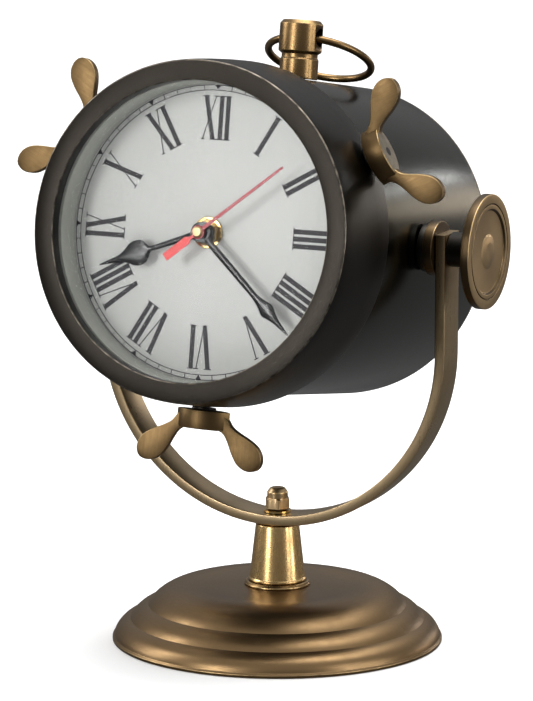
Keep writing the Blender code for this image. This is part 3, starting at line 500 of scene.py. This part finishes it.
def make_base():
    """Four rounded steps from the flat top down to a full-round foot, and a hollow under them."""
    outside = [(18.0, BASE_TOP, 0.0)]
    for start, end, bulge in zip(BASE_GROOVES, BASE_GROOVES[1:], BASE_BULGES):
        outside += [(point.x, point.y, 0.0) for point in swell(start, end, bulge, 14)]
    outside += [(83.0, 2.6, 0.3), (BASE_R, 1.6, 0.6), (BASE_R, BASE_LOW, 0.25)]
    inside = [(PAD_RECESS_R, BASE_LOW, 0.2), (PAD_RECESS_R, 1.3, 0), (75.0, 6.8, 0), (55.0, 19.0, 0),
              (38.0, 24.3, 0), (ROD_HOLE_R, 24.3, 0), (ROD_HOLE_R, BASE_TOP, 0)]
    base = make("base_turned", lathe(outside + inside, "Z", 192), UPRIGHT, "stand", ["base_shell"],
                sharp=24)
    paint(base, "bronze_base")


def make_post():
    """The collar on the base and the tapered post in it, both bored for the tie rod."""
    low, high = (corner.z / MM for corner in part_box("post_collar"))
    width = node_width("post_collar") / 2
    collar = lathe([(ROD_HOLE_R, high, 0), (width - 1.0, high, 0.9), (width, high - 1.3, 0.8),
                    (width, low, 0.5), (ROD_HOLE_R, low, 0)], "Z", 128)
    paint(make("collar_turned", collar, UPRIGHT, "stand", ["post_collar"]), "brass_z")
    low, high = (corner.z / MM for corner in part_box("post"))
    foot = node_width("post") / 2
    post = lathe([(ROD_HOLE_R, high, 0), (11.0, high, 0.5), (foot - 0.5, low + 1.6, 0.6),
                  (foot, low + 0.9, 0.4), (foot, low, 0.3), (ROD_HOLE_R, low, 0)], "Z", 128)
    paint(make("post_turned", post, UPRIGHT, "stand", ["post"]), "brass_post")


def make_acorn_nut():
    """A turned nut whose lower part is cut back to six flats."""
    low, high = (corner.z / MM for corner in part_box("acorn_nut"))
    bm = lathe([(0, low, 0), (4.6, low, 0), (6.5, low + 0.7, 0), (6.5, low + 5.4, 0), (5.7, low + 6.1, 0),
                (5.3, low + 6.2, 0.1), (5.3, high - 2.3, 1.6), (3.6, high, 1.8), (0, high, 0)], "Z", 96, 8)
    for vert in bm.verts:
        in_hexagon = vert.co.z - low < ACORN_HEX_TOP and vert.co.xy.length > ACORN_FOOT_R
        if in_hexagon:
            angle = math.atan2(vert.co.y, vert.co.x)
            nearest = round((angle - HALF_FLAT_TURN) / FLAT_TURN) * FLAT_TURN + HALF_FLAT_TURN
            reach = ACORN_FLAT / math.cos(angle - nearest)
            scale = min(1.0, reach / vert.co.xy.length)
            vert.co.x *= scale
            vert.co.y *= scale
    paint(make("acorn_nut_turned", bm, UPRIGHT, "stand", ["acorn_nut"], sharp=24), "brass_x")


def box_outline(half_wide, half_high, corner):
    return [(-half_wide, -half_high, corner), (half_wide, -half_high, corner), (half_wide, half_high, corner),
            (-half_wide, half_high, corner)]


def make_yoke():
    """A flat strap bent to a U, with its long edges eased and its ends cut square."""
    centre_z = YOKE_LOW + YOKE_R
    arm = YOKE_TOP - centre_z
    middle = YOKE_R - YOKE_THICK / 2
    line = [((-middle, YOKE_TOP - arm * step / ARM_STEPS), (-1, 0)) for step in range(ARM_STEPS)]
    for step in range(BEND_STEPS + 1):
        angle = math.pi * (1 + step / BEND_STEPS)
        line.append(((middle * math.cos(angle), centre_z + middle * math.sin(angle)),
                     (math.cos(angle), math.sin(angle))))
    line += [((middle, centre_z + arm * step / ARM_STEPS), (1, 0)) for step in range(1, ARM_STEPS + 1)]
    section = fillet(box_outline(YOKE_THICK / 2, YOKE_WIDTH / 2, 0.55), 3)
    bm = bmesh.new()
    wear = bm.verts.layers.float.new("wear")
    rows = []
    for (x, z), (nx, nz) in line:
        row = []
        for out, along, worn in section:
            vert = bm.verts.new((x + nx * out, along, z + nz * out))
            vert[wear] = worn
            row.append(vert)
        rows.append(row)
    skin(bm, rows)
    bm.faces.new(rows[0])
    bm.faces.new(rows[-1])
    yoke = make("yoke_strap", bm, UPRIGHT, "stand", ["yoke"], sharp=50)
    paint(yoke, "brass_yoke")


# ------------ case

def make_front_ring():
    """A heavy ring: flat brushed face with eased edges, and a side that flares to the seam."""
    lip_back = RING_FRONT_Y + 7.0
    bore = 79.8
    outline = [(RING_OPENING_R, RING_FRONT_Y, 0.55), (RING_FRONT_R, RING_FRONT_Y, 0.75),
               (RING_FRONT_R + 0.8, -98.0, 0), (RING_FRONT_R + 1.5, -86.0, 0), (RING_FRONT_R + 2.1, -72.0, 0),
               (RING_BACK_R, RING_BACK_Y, 0.8), (bore, RING_BACK_Y, 0.2), (bore, lip_back, 0),
               (RING_OPENING_R, lip_back, 0.3)]
    ring = make("front_ring_turned", lathe(outline, "Y", 224, 5), CASE, "head", ["front_ring"])
    paint(ring, "ring_face")


def make_drum():
    """The open drum, and the friction lid that closes its back."""
    inner = DRUM_R - 2.0
    front, back = -80.7, CASE_BACK_Y - 2.2
    outline = [(inner, front, 0.2), (DRUM_R, front, 0.3), (DRUM_R, -20.0, 0), (DRUM_R, back, 0.35),
               (inner, back, 0.2)]
    drum = make("case_drum_turned", lathe(outline, "Y", 224), CASE, "head", ["case_drum"])
    paint(drum, "drum")

    plug = inner - 0.3
    face = CASE_BACK_Y
    rim = DRUM_R - 0.1
    outline = [(0, face - 0.9, 0), (40.0, face - 0.9, 0), (66.0, face - 0.9, 0.5), (68.0, face, 0.8),
               (rim, face, 1.1), (rim, face - 1.9, 0.3), (plug, face - 1.9, 0), (plug, 74.0, 0.4),
               (plug - 2.0, 74.0, 0.4), (plug - 2.0, face - 2.0, 0), (0, face - 2.0, 0)]
    cover = make("rear_cover_spun", lathe(outline, "Y", 224), CASE, "rear_cover", ["rear_cover"])
    paint(cover, "cover")


def make_spacer_ring():
    """The sloping ring between the glass and the dial."""
    outline = [(78.6, GLASS_Y + 2.9, 0), (78.6, DIAL_Y - 0.4, 0), (71.9, DIAL_Y - 0.4, 0.3),
               (RING_OPENING_R + 0.2, GLASS_Y + 2.9, 0.3)]
    spacer = make("spacer_ring_turned", lathe(outline, "Y", 192), CASE, "head", ["spacer_ring"])
    paint(spacer, "spacer")


def make_crystal():
    """The flat glass."""
    outline = [(0, GLASS_Y, 0), (76.6, GLASS_Y, 0.3), (76.6, GLASS_Y + 2.5, 0.3), (0, GLASS_Y + 2.5, 0)]
    crystal = make("crystal_disc", lathe(outline, "Y", 160), CASE, "head", ["crystal"])
    paint(crystal, "glass")


# ------------ dial and its print

PRINT_LIFT = 0.06       # the print stands this far off the dial
PRINT_DEPTH = 0.05
TRACK_OUTER = 71.6
TRACK_INNER = 68.8
TRACK_LINE = 0.4
TICK_HALF_WIDTH = 0.21
WEDGE_SPREAD = 1.35     # half the angle of an hour mark's wedge, in degrees
NUMERAL_OUTER = 66.3
NUMERAL_INNER = 44.9
STROKE_WIDE = 2.35
STROKE_FINE = 0.55
SERIF = 0.5
SERIF_WIDE = 3.9


def dial_point(radius, clock_angle):
    angle = math.radians(90 - clock_angle)
    return radius * math.cos(angle), radius * math.sin(angle)


def print_shape(points):
    """One printed patch, a thin prism just in front of the dial, made face by face: an extrude's face order
    varies between runs."""
    face = DIAL_Y - PRINT_LIFT
    bm = bmesh.new()
    bm.verts.layers.float.new("wear")
    rows = [[bm.verts.new((u, along, v)) for u, v in points] for along in (face - PRINT_DEPTH, face)]
    skin(bm, rows)
    bm.faces.new(rows[0])
    bm.faces.new(rows[1])
    return bm


def print_ring(outer, inner, steps=180):
    turns = [dial_point(outer, 360.0 * step / steps) for step in range(steps + 1)]
    back = [dial_point(inner, 360.0 - 360.0 * step / steps) for step in range(steps + 1)]
    return print_shape(turns + back)


def bar(x0, x1, width, low=0.0, high=1.0):
    """A stroke of a numeral from (x0, low) to (x1, high) with level ends."""
    return [(x0 - width / 2, low), (x0 + width / 2, low), (x1 + width / 2, high), (x1 - width / 2, high)]


def numeral_strokes(text):
    """Strokes of a Roman numeral: x in millimetres, height as 0 at the foot to 1 at the head."""
    strokes = []
    x = 0.0
    ends = SERIF / (NUMERAL_OUTER - NUMERAL_INNER)
    for letter in text:
        if letter == "I":
            middle = x + 1.75
            strokes.append(bar(middle, middle, STROKE_WIDE))
            strokes.append(bar(middle, middle, SERIF_WIDE, 0.0, ends))
            strokes.append(bar(middle, middle, SERIF_WIDE, 1 - ends, 1.0))
            x += 3.5
        elif letter == "V":
            strokes.append(bar(x + 4.7, x + 1.6, STROKE_WIDE))
            strokes.append(bar(x + 4.9, x + 7.9, STROKE_FINE))
            strokes.append([(x - 0.2, 1 - ends), (x + 3.6, 1 - ends), (x + 3.6, 1), (x - 0.2, 1)])
            strokes.append([(x + 6.6, 1 - ends), (x + 9.0, 1 - ends), (x + 9.0, 1), (x + 6.6, 1)])
            x += 9.0
        else:
            strokes.append(bar(x + 6.6, x + 1.9, STROKE_WIDE))
            strokes.append(bar(x + 1.1, x + 7.3, STROKE_FINE))
            for low, high in ((0.0, ends), (1 - ends, 1.0)):
                near, far = (5.0, 8.5) if low == 0.0 else (0.0, 3.7)
                thin_near, thin_far = (0.0, 2.3) if low == 0.0 else (6.1, 8.5)
                strokes.append([(x + near, low), (x + far, low), (x + far, high), (x + near, high)])
                strokes.append([(x + thin_near, low), (x + thin_far, low), (x + thin_far, high),
                                (x + thin_near, high)])
            x += 8.6
    return strokes, x


def make_numerals():
    """The twelve Roman numerals, each standing on the dial's centre."""
    numerals = ("XII", "I", "II", "III", "IIII", "V", "VI", "VII", "VIII", "IX", "X", "XI")
    shapes = []
    layers = 0
    for hour, text in enumerate(numerals):
        strokes, width = numeral_strokes(text)
        turn = math.radians(-30 * hour)
        for stroke in strokes:
            points = []
            for x, height in stroke:
                u = x - width / 2
                v = NUMERAL_INNER + height * (NUMERAL_OUTER - NUMERAL_INNER)
                points.append((u * math.cos(turn) - v * math.sin(turn),
                               u * math.sin(turn) + v * math.cos(turn)))
            bm = print_shape(points)
            bmesh.ops.translate(bm, verts=bm.verts, vec=(0, -0.002 * (layers % 4), 0))
            layers += 1
            shapes.append(bm)
    print_piece = make("dial_numerals", gather(*shapes), CASE, "head")
    paint(print_piece, "print")


def make_track():
    """The railway minute track, with a wedge at each hour."""
    shapes = [print_ring(TRACK_OUTER, TRACK_OUTER - TRACK_LINE),
              print_ring(TRACK_INNER + TRACK_LINE, TRACK_INNER)]
    for minute in range(60):
        angle = 6.0 * minute
        if minute % 5 == 0:
            shapes.append(print_shape([dial_point(TRACK_OUTER - 0.1, angle - WEDGE_SPREAD),
                                       dial_point(TRACK_OUTER - 0.1, angle + WEDGE_SPREAD),
                                       dial_point(TRACK_INNER + 0.1, angle)]))
        else:
            low = dial_point(TRACK_INNER, angle)
            high = dial_point(TRACK_OUTER, angle)
            side = dial_point(TICK_HALF_WIDTH, angle + 90)
            shapes.append(print_shape([(low[0] - side[0], low[1] - side[1]),
                                       (low[0] + side[0], low[1] + side[1]),
                                       (high[0] + side[0], high[1] + side[1]),
                                       (high[0] - side[0], high[1] - side[1])]))
    print_piece = make("dial_minute_track", gather(*shapes), CASE, "head")
    paint(print_piece, "print")


def make_dial():
    outline = [(4.2, DIAL_Y, 0), (78.5, DIAL_Y, 0.2), (78.5, DIAL_Y + 1.2, 0.2), (4.2, DIAL_Y + 1.2, 0)]
    dial = make("dial_plate", lathe(outline, "Y", 160), CASE, "head", ["dial"])
    paint(dial, "dial")
    make_numerals()
    make_track()


# ------------ hands

HAND_ANGLES = {"hour_hand": 250.4, "minute_hand": 133.0, "second_hand": 51.4}
HAND_Y = {"hour_hand": -88.6, "minute_hand": -91.4, "second_hand": -94.4}


def blade(side, y, crown, steps=4):
    """A hand pressed from sheet and crowned along its middle; side is (half width, distance) points."""
    outline = curve_through(side, steps) if steps > 1 else [Vector(point) for point in side]
    bm = bmesh.new()
    bm.verts.layers.float.new("wear")
    rows = []
    for width, along in outline:
        rise = crown * min(1.0, width / 2.0)
        rows.append([bm.verts.new(point) for point in (
            (-width, y + 0.6, along), (-width, y + 0.25, along), (-width * 0.55, y - rise * 0.75, along),
            (0, y - rise, along), (width * 0.55, y - rise * 0.75, along), (width, y + 0.25, along),
            (width, y + 0.6, along))])
    skin(bm, rows)
    bm.faces.new(rows[0])
    bm.faces.new(rows[-1])
    return bm


def hand_hub(bore, radius, y):
    return lathe([(bore, y + 0.6, 0), (bore, y - 0.15, 0), (radius, y - 0.15, 0.15), (radius, y + 0.6, 0.1)],
                 "Y", 64)


def make_hands():
    """The spade hour hand, the lance minute hand, and the second hand with its tail and cap."""
    places = {name: CASE @ Matrix.Rotation(math.radians(angle), 4, "Y")
              for name, angle in HAND_ANGLES.items()}
    y = HAND_Y["hour_hand"]
    hour = [(1.9, 3.6), (1.55, 14.0), (1.25, 26.0), (1.5, 29.6), (3.6, 31.2), (5.6, 33.2), (6.2, 36.4),
            (5.5, 39.5), (3.9, 42.0), (2.5, 44.4), (1.5, 47.8), (0.9, 52.8), (0.35, 57.6)]
    hub = hand_hub(3.05, 5.25, y)
    hand = make("hour_hand_spade", gather(blade(hour, y, 0.35), hub), places["hour_hand"], "hours",
                ["hour_hand"])
    paint(hand, "hand_black")

    y = HAND_Y["minute_hand"]
    minute = [(1.6, 2.8), (1.75, 16.0), (1.65, 34.0), (1.6, 42.0), (2.4, 46.6), (3.8, 51.4), (2.8, 54.6),
              (1.7, 58.0), (1.1, 62.0), (0.3, 67.6)]
    hub = hand_hub(2.15, 5.0, y)
    hand = make("minute_hand_lance", gather(blade(minute, y, 0.35), hub), places["minute_hand"], "minutes",
                ["minute_hand"])
    paint(hand, "hand_black")

    y = HAND_Y["second_hand"]
    tail = plate([(2.0, -21.4), (2.0, -6.6), (0.75, -5.4), (0.75, -3.0), (-0.75, -3.0), (-0.75, -5.4),
                  (-2.0, -6.6), (-2.0, -21.4)], y, y + 0.45, "Y", edge=0.1, edge_steps=1)
    needle = plate([(0.95, -3.05), (0.95, 0), (0.6, 54.1), (-0.6, 54.1), (-0.95, 0), (-0.95, -3.05)],
                   y, y + 0.45, "Y", edge=0.1, edge_steps=1)
    hub = lathe([(0, y - 0.25, 0), (3.3, y - 0.25, 0.2), (3.3, y + 0.9, 0.2), (1.9, y + 0.95, 0),
                 (1.9, y + 1.7, 0), (0, y + 1.7, 0)], "Y", 64)
    hand = make("second_hand_needle", gather(needle, hub), places["second_hand"], "seconds", ["second_hand"])
    paint(hand, "needle_red")
    paint(make("second_hand_tail", tail, places["second_hand"], "seconds"), "hand_red")
    cap = lathe([(0, y - 1.25, 0), (2.0, y - 1.2, 0.3), (2.75, y - 0.8, 0.4), (2.75, y - 0.3, 0.1),
                 (0, y - 0.3, 0)], "Y", 64)
    paint(make("second_hand_cap", cap, places["second_hand"], "seconds"), "brass_x")


def make_fixings():
    """The movement's hexagon nut and washer on the dial."""
    washer = lathe([(4.1, -82.55, 0), (7.75, -82.55, 0.2), (7.75, -83.35, 0.3), (4.1, -83.35, 0.1)], "Y", 96)
    paint(make("fixing_washer_round", washer, CASE, "head", ["fixing_washer"]),
          "bright_brass")
    flats = arc((0, 0), 11.5 / math.sqrt(3), 30, 330, 5)
    nut = plate(flats, -86.15, -83.65, "Y", edge=0.35, edge_steps=2)
    paint(make("fixing_nut_hex", nut, CASE, "head", ["fixing_nut"], sharp=25),
          "bright_brass")


# ------------ wing nuts, studs and pivots

WINGS = {"top_right": 5.0, "top_left": 1.5, "bottom": -5.5}     # each nut's turn in degrees
HUB_LOW = 86.4
HUB_HIGH = 95.8
PADDLE_HALF_THICK = 2.45
PADDLE_THINNING = 0.25


def wing_frame(name):
    """A frame on the wing nut's axis: Z outward from the case's axis, X along the ring."""
    joint = JOINTS[f"wing_nut_{name}_turn"]
    out = Vector(joint["axis"])
    along = Vector(CASE_LINE)
    side = along.cross(out)
    foot = joint_point(f"wing_nut_{name}_turn")
    foot -= out * (foot - PIVOT).dot(out)
    basis = Matrix((side, along, out)).transposed().to_4x4()
    return Matrix.Translation(foot) @ basis


# Across, outward and half width, from the hub to the tip
WING_STATIONS = [(7.0, 91.1, 4.5), (10.2, 92.3, 3.8), (13.6, 95.2, 2.8), (17.0, 98.5, 3.8),
                 (20.6, 102.1, 5.6), (24.3, 105.8, 6.7), (27.0, 108.5, 6.2), (28.8, 110.3, 4.9),
                 (30.0, 111.5, 3.2), (30.7, 112.2, 1.2)]


def wing_paddle(side):
    """One wing: a flat blade that leaves the hub, narrows at a waist and swells to a round tip."""
    spine = curve_through([Vector((side * across, outward)) for across, outward, _ in WING_STATIONS], 4)
    widths = curve_through([(half, 0) for _, _, half in WING_STATIONS], 4)
    last = len(spine) - 1
    bm = bmesh.new()
    wear = bm.verts.layers.float.new("wear")
    rows = []
    for index, point in enumerate(spine):
        ahead = spine[min(index + 1, last)] - spine[max(index - 1, 0)]
        ahead.normalize()
        across = Vector((-ahead.y, ahead.x))
        width = widths[index].x
        thick = PADDLE_HALF_THICK - PADDLE_THINNING * index / last
        section = fillet(box_outline(width, thick, 0.45), 3)
        row = []
        for u, w, worn in section:
            vert = bm.verts.new((point.x + across.x * u, w, point.y + across.y * u))
            vert[wear] = worn
            row.append(vert)
        rows.append(row)
    skin(bm, rows)
    bm.faces.new(rows[0])
    bm.faces.new(rows[-1])
    return bm


def lens(long, wide, steps):
    """The outline of two equal arcs that meet in a point at both ends."""
    radius = (long ** 2 + wide ** 2) / (2 * wide)
    half = math.degrees(math.asin(long / radius))
    upper = arc((0, wide - radius), radius, 90 - half, 90 + half, steps)[:-1]
    return [(u, v) for u, v in upper] + [(-u, -v) for u, v in upper]


def make_wing_nuts():
    """Each wing nut with the dark mouth of its thread, and the stud it screws on."""
    for name, twist in WINGS.items():
        place = wing_frame(name)
        turned = place @ Matrix.Rotation(math.radians(twist), 4, "Z")
        hub = plate(lens(13.6, 7.6, 14), HUB_LOW, HUB_HIGH, "Z", edge=0.6, edge_steps=3)
        nut = make(f"wing_nut_{name}_cast", gather(hub, wing_paddle(1), wing_paddle(-1)), turned,
                   f"wing_nut_{name}", [f"wing_nut_{name}"], sharp=35)
        paint(nut, "brass_wing", "cast_face")
        for polygon in nut.data.polygons:
            on_face = abs(polygon.center.z / MM - HUB_HIGH) < 0.02 and polygon.normal.z > 0.99
            polygon.material_index = 1 if on_face else 0
        stud = lathe([(0, 74.5, 0), (2.0, 74.5, 0), (2.0, 85.2, 0), (6.0, 85.2, 0.2),
                      (6.0, HUB_LOW - 0.3, 0.3), (0, HUB_LOW - 0.3, 0)], "Z", 48)
        paint(make(f"wing_stud_{name}_turned", stud, place, "head", [f"wing_stud_{name}"]),
              "blackened")
        mouth = lathe([(0, HUB_HIGH + 0.04, 0), (2.2, HUB_HIGH + 0.04, 0.02), (2.2, HUB_HIGH - 1.0, 0),
                       (0, HUB_HIGH - 1.0, 0)], "Z", 32)
        paint(make(f"wing_nut_{name}_bore", mouth, place, f"wing_nut_{name}"), "shadow")


KNOB_R = 28.4
KNOB_THICK = 4.4


def make_pivots():
    """On each side: the tilt knob with its dark stem, and the washer and spacer it presses."""
    face = KNOB_FACE_X
    back = face - KNOB_THICK
    for name, side in (("right", 1), ("left", -1)):
        knob = [(0, 71.0, 0), (4.0, 71.0, 0), (4.0, YOKE_R + 0.3, 0), (8.6, YOKE_R + 0.3, 0.4),
                (8.6, back, 0.3), (KNOB_R, back, 0.5), (KNOB_R, face, 0.5), (23.9, face, 0.12),
                (23.5, face - 0.7, 0.1), (23.1, face, 0.25), (21.2, face, 0.3), (20.3, face - 1.1, 0.4),
                (8.6, face - 1.1, 0.4), (7.4, face - 0.6, 0.5), (4.6, face - 0.15, 1.2), (0, face, 0)]
        outline = [(radius, side * x, corner) for radius, x, corner in knob]
        piece = make(f"tilt_knob_{name}_turned", lathe(outline, "X", 160), CASE, f"tilt_knob_{name}",
                     [f"tilt_knob_{name}"], sharp=50)
        piece.data.materials.append(MATERIALS["brass_x"])
        piece.data.materials.append(MATERIALS["blackened"])
        piece.data.materials.append(MATERIALS["brass_painted_shade"])
        # Darker materials as painted shade: on the stem (together with the steel's blackening), on the rim's
        # side and in the face's grooves.
        for polygon in piece.data.polygons:
            centre = polygon.center / MM
            off_axis = math.hypot(centre.y, centre.z)
            on_stem = abs(centre.x) < back - 0.2 and off_axis < 9.0
            on_rim = abs(centre.x) < face - 0.4 and off_axis > KNOB_R - 0.4
            in_groove = abs(polygon.normal.x) < 0.93 and 20.0 < off_axis < 24.0
            if on_stem:
                polygon.material_index = 1
            elif on_rim or in_groove:
                polygon.material_index = 2

        washer = [(4.3, 80.0, 0), (12.0, 80.0, 0.3), (12.0, 83.2, 0.3), (4.3, 83.2, 0)]
        spacer = [(4.3, 83.5, 0), (13.6, 83.5, 0.4), (13.6, 88.6, 0.5), (4.3, 88.6, 0)]
        outline = [(radius, side * x, corner) for radius, x, corner in washer]
        # The washer's dark is the steel's blackening together with painted shade.
        paint(make(f"pivot_washer_{name}_turned", lathe(outline, "X", 96), CASE, "head",
                   [f"pivot_washer_{name}"]), "blackened")
        # The spacer's dark brass is painted shade.
        outline = [(radius, side * x, corner) for radius, x, corner in spacer]
        paint(make(f"pivot_spacer_{name}_turned", lathe(outline, "X", 96), CASE, "head",
                   [f"pivot_spacer_{name}"]), "brass_painted_shade")


# ------------ lifting eye and ring

BOSS_Y = 11.0
BOSS_TOP = 109.0
EYE_HEIGHT = 100.6
EYE_R = 4.6
WIRE_R = 1.9
WIRE_STEPS = 20
RING_STEPS = 144


def make_ring_boss():
    """The turned post on the drum, with its foot fitted to the drum and its eye bored crossways."""
    outline = [(0, 80.6, 0), (9.7, 80.6, 0.4), (9.7, 89.3, 0.4), (9.1, 90.2, 0.3), (9.1, 92.0, 0.3),
               (10.9, 93.4, 0.6), (10.9, BOSS_TOP - 1.8, 0.8), (9.3, BOSS_TOP, 0.7), (0, BOSS_TOP, 0)]
    place = CASE @ Matrix.Translation((0, BOSS_Y * MM, 0))
    bm = lathe(outline, "Z", 128)
    seat = DRUM_R + 0.3
    for vert in bm.verts:
        if vert.co.z < 81.5:
            drop = seat - math.sqrt(seat ** 2 - vert.co.x ** 2)
            vert.co.z -= 0.75 + drop if vert.co.z < 81.0 else drop
    boss = make("ring_boss_turned", bm, place, "head", ["ring_boss"])
    cutter_mesh = lathe([(0, -20, 0), (EYE_R, -20, 0), (EYE_R, 20, 0), (0, 20, 0)], "X", 64)
    bmesh.ops.scale(cutter_mesh, vec=(MM, MM, MM), verts=cutter_mesh.verts)
    bmesh.ops.recalc_face_normals(cutter_mesh, faces=cutter_mesh.faces)
    mesh = bpy.data.meshes.new("eye_cutter")
    cutter_mesh.to_mesh(mesh)
    cutter_mesh.free()
    cutter = bpy.data.objects.new("eye_cutter", mesh)
    bpy.context.scene.collection.objects.link(cutter)
    cutter.matrix_world = place @ Matrix.Translation((0, 0, EYE_HEIGHT * MM))
    cut = boss.modifiers.new("eye", "BOOLEAN")
    cut.operation = "DIFFERENCE"
    cut.object = cutter
    bpy.context.view_layer.update()
    bpy.context.view_layer.objects.active = boss
    with bpy.context.temp_override(object=boss, active_object=boss):
        bpy.ops.object.modifier_apply(modifier="eye")
    bpy.data.objects.remove(cutter)
    paint(boss, "brass_z")


def make_hanging_ring():
    """The wire ring, round its own centre, which lies off the axis it swings on."""
    centre = joint_point("hanging_ring_swing")
    low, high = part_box("hanging_ring")
    back = (low + high) / 2 - centre
    back.x = 0
    radius = back.length / MM
    place = Matrix.Translation(centre + back) @ Matrix.Rotation(math.atan2(back.z, back.y), 4, "X")
    bm = bmesh.new()
    bm.verts.layers.float.new("wear")
    rows = []
    for turn in range(RING_STEPS):
        angle = math.tau * turn / RING_STEPS
        row = []
        for step in range(WIRE_STEPS):
            around = math.tau * step / WIRE_STEPS
            reach = radius + WIRE_R * math.cos(around)
            row.append(bm.verts.new((reach * math.sin(angle), -reach * math.cos(angle),
                                     WIRE_R * math.sin(around))))
        rows.append(row)
    skin(bm, rows + rows[:1])
    ring = make("hanging_ring_wire", bm, place, "hanging_ring", ["hanging_ring"])
    paint(ring, "brass_z")


# ------------ CAD nodes that keep their shape

KEPT = {
    "felt": ["felt_pad"],
    "cast_iron": ["base_weight"],
    "steel": ["base_washer", "base_nut", "tie_rod", "pivot_nut_right", "pivot_nut_left", "boss_nut",
              "motor_stator", "motor_rotor", "battery_contact_top", "battery_contact_bottom"],
    "bright_brass": ["yoke_washer", "second_wheel", "third_wheel", "minute_wheel", "intermediate_wheel",
                     "hour_wheel"],
    "rubber": ["glass_gasket", "rubber_washer"],
    "black_plastic": ["movement_housing", "movement_cover"],
    "white_plastic": ["setting_knob", "fifth_wheel"],
    "copper": ["motor_coil"],
    "board": ["circuit_board"],
    "jacket": ["battery"],
}


def finish_kept_nodes():
    for material, names in KEPT.items():
        for name in names:
            node = frame["nodes"][name]
            node.data.materials.clear()
            node.data.materials.append(MATERIALS[material])


# ------------ stage, lights and camera

# The walls' grey at each height, from the horizon and below (0) to straight up (1)
WALL_HEIGHTS = (0.0, 0.04, 0.22, 0.55, 1.0)
WALL_LEVELS = (0.15, 0.17, 0.22, 0.62, 0.80)
LOOK_AT = Vector((0, 0, 0.18))
CAMERA_AT = (0.8956, -1.9630, 0.5484)
CAMERA_DOWN = 10.50
CAMERA_ROLL = -0.08
CAMERA_ROUND = 24.69
CAMERA_LENS = 224.0


def make_stage():
    """A white paper floor that the metal doesn't mirror."""
    bpy.ops.mesh.primitive_plane_add(size=14.0, location=(0, 2.0, 0))
    floor = bpy.context.object
    floor.name = "floor"
    n = Nodes("floor_paper")
    n.shader.inputs["Base Color"].default_value = (0.92, 0.92, 0.92, 1.0)
    n.shader.inputs["Roughness"].default_value = 0.9
    floor.data.materials.append(n.material)
    floor.visible_glossy = False


def softbox(name, at, size, power, colour=(1.0, 1.0, 1.0)):
    """A rectangular light that faces the middle of the clock."""
    light = bpy.data.lights.new(name, "AREA")
    light.shape = "RECTANGLE"
    light.size, light.size_y = size
    light.energy = power
    light.color = colour
    item = bpy.data.objects.new(name, light)
    bpy.context.scene.collection.objects.link(item)
    item.location = at
    item.rotation_euler = (LOOK_AT - Vector(at)).to_track_quat("-Z", "Y").to_euler()


def make_lights():
    """Even light from above for the paper, dim walls, and softboxes that shape the metal."""
    world = bpy.data.worlds.new("studio")
    world.use_nodes = True
    tree = world.node_tree
    up = tree.nodes.new("ShaderNodeSeparateXYZ")
    tree.links.new(tree.nodes.new("ShaderNodeTexCoord").outputs["Generated"], up.inputs[0])
    ramp = tree.nodes.new("ShaderNodeValToRGB")
    tree.links.new(up.outputs["Z"], ramp.inputs[0])
    stops = ramp.color_ramp.elements
    for height in WALL_HEIGHTS[1:-1]:
        stops.new(height)
    for stop, level in zip(stops, WALL_LEVELS):
        stop.color = (level, level, level, 1.0)
    paper = tree.nodes.new("ShaderNodeMix")
    paper.data_type = "RGBA"
    tree.links.new(tree.nodes.new("ShaderNodeLightPath").outputs["Is Camera Ray"], paper.inputs["Factor"])
    tree.links.new(ramp.outputs[0], paper.inputs["A"])
    paper.inputs["B"].default_value = (1.0, 1.0, 1.0, 1.0)
    tree.links.new(paper.outputs["Result"], tree.nodes["Background"].inputs["Color"])
    tree.nodes["Background"].inputs["Strength"].default_value = 1.0
    bpy.context.scene.world = world
    sun("overhead", (0.1, 0.2, 1.0), 60, 2.2)
    softbox("key", (-0.86, -2.37, 0.85), (0.5, 1.3), 26)
    softbox("left", (-2.10, -0.57, 1.10), (0.7, 1.4), 20)
    softbox("right", (2.22, -0.52, 0.85), (0.36, 1.3), 12)
    softbox("right_edge", (2.30, 0.28, 0.55), (0.25, 1.2), 9)
    softbox("top", (0.20, 0.30, 2.10), (1.6, 1.2), 20)
    softbox("back_strip", (1.00, 2.10, 0.49), (1.5, 0.05), 2.0)
    softbox("back_warm", (1.10, 2.20, 0.28), (1.8, 0.20), 2.3, (1.0, 0.84, 0.66))


def sun(name, towards, spread, strength):
    """Soft light of one strength everywhere, from a wide disc of sky."""
    light = bpy.data.lights.new(name, "SUN")
    light.angle = math.radians(spread)
    light.energy = strength
    item = bpy.data.objects.new(name, light)
    bpy.context.scene.collection.objects.link(item)
    item.rotation_euler = Vector(towards).to_track_quat("Z", "Y").to_euler()


def make_camera():
    """The long-lens view of the photograph: a little to the right of the dial and looking down at it."""
    data = bpy.data.cameras.new("camera")
    data.sensor_width = 36.0
    data.lens = CAMERA_LENS
    data.clip_end = 30.0
    camera = bpy.data.objects.new("camera", data)
    bpy.context.scene.collection.objects.link(camera)
    camera.location = CAMERA_AT
    camera.rotation_euler = (math.radians(90 - CAMERA_DOWN), math.radians(CAMERA_ROLL),
                             math.radians(CAMERA_ROUND))
    bpy.context.scene.camera = camera


make_base()
make_post()
make_acorn_nut()
make_yoke()
make_front_ring()
make_drum()
make_spacer_ring()
make_crystal()
make_dial()
make_hands()
make_fixings()
make_wing_nuts()
make_pivots()
make_ring_boss()
make_hanging_ring()
finish_kept_nodes()
make_stage()
make_lights()
make_camera()

bpy.context.scene.view_settings.view_transform = "Standard"
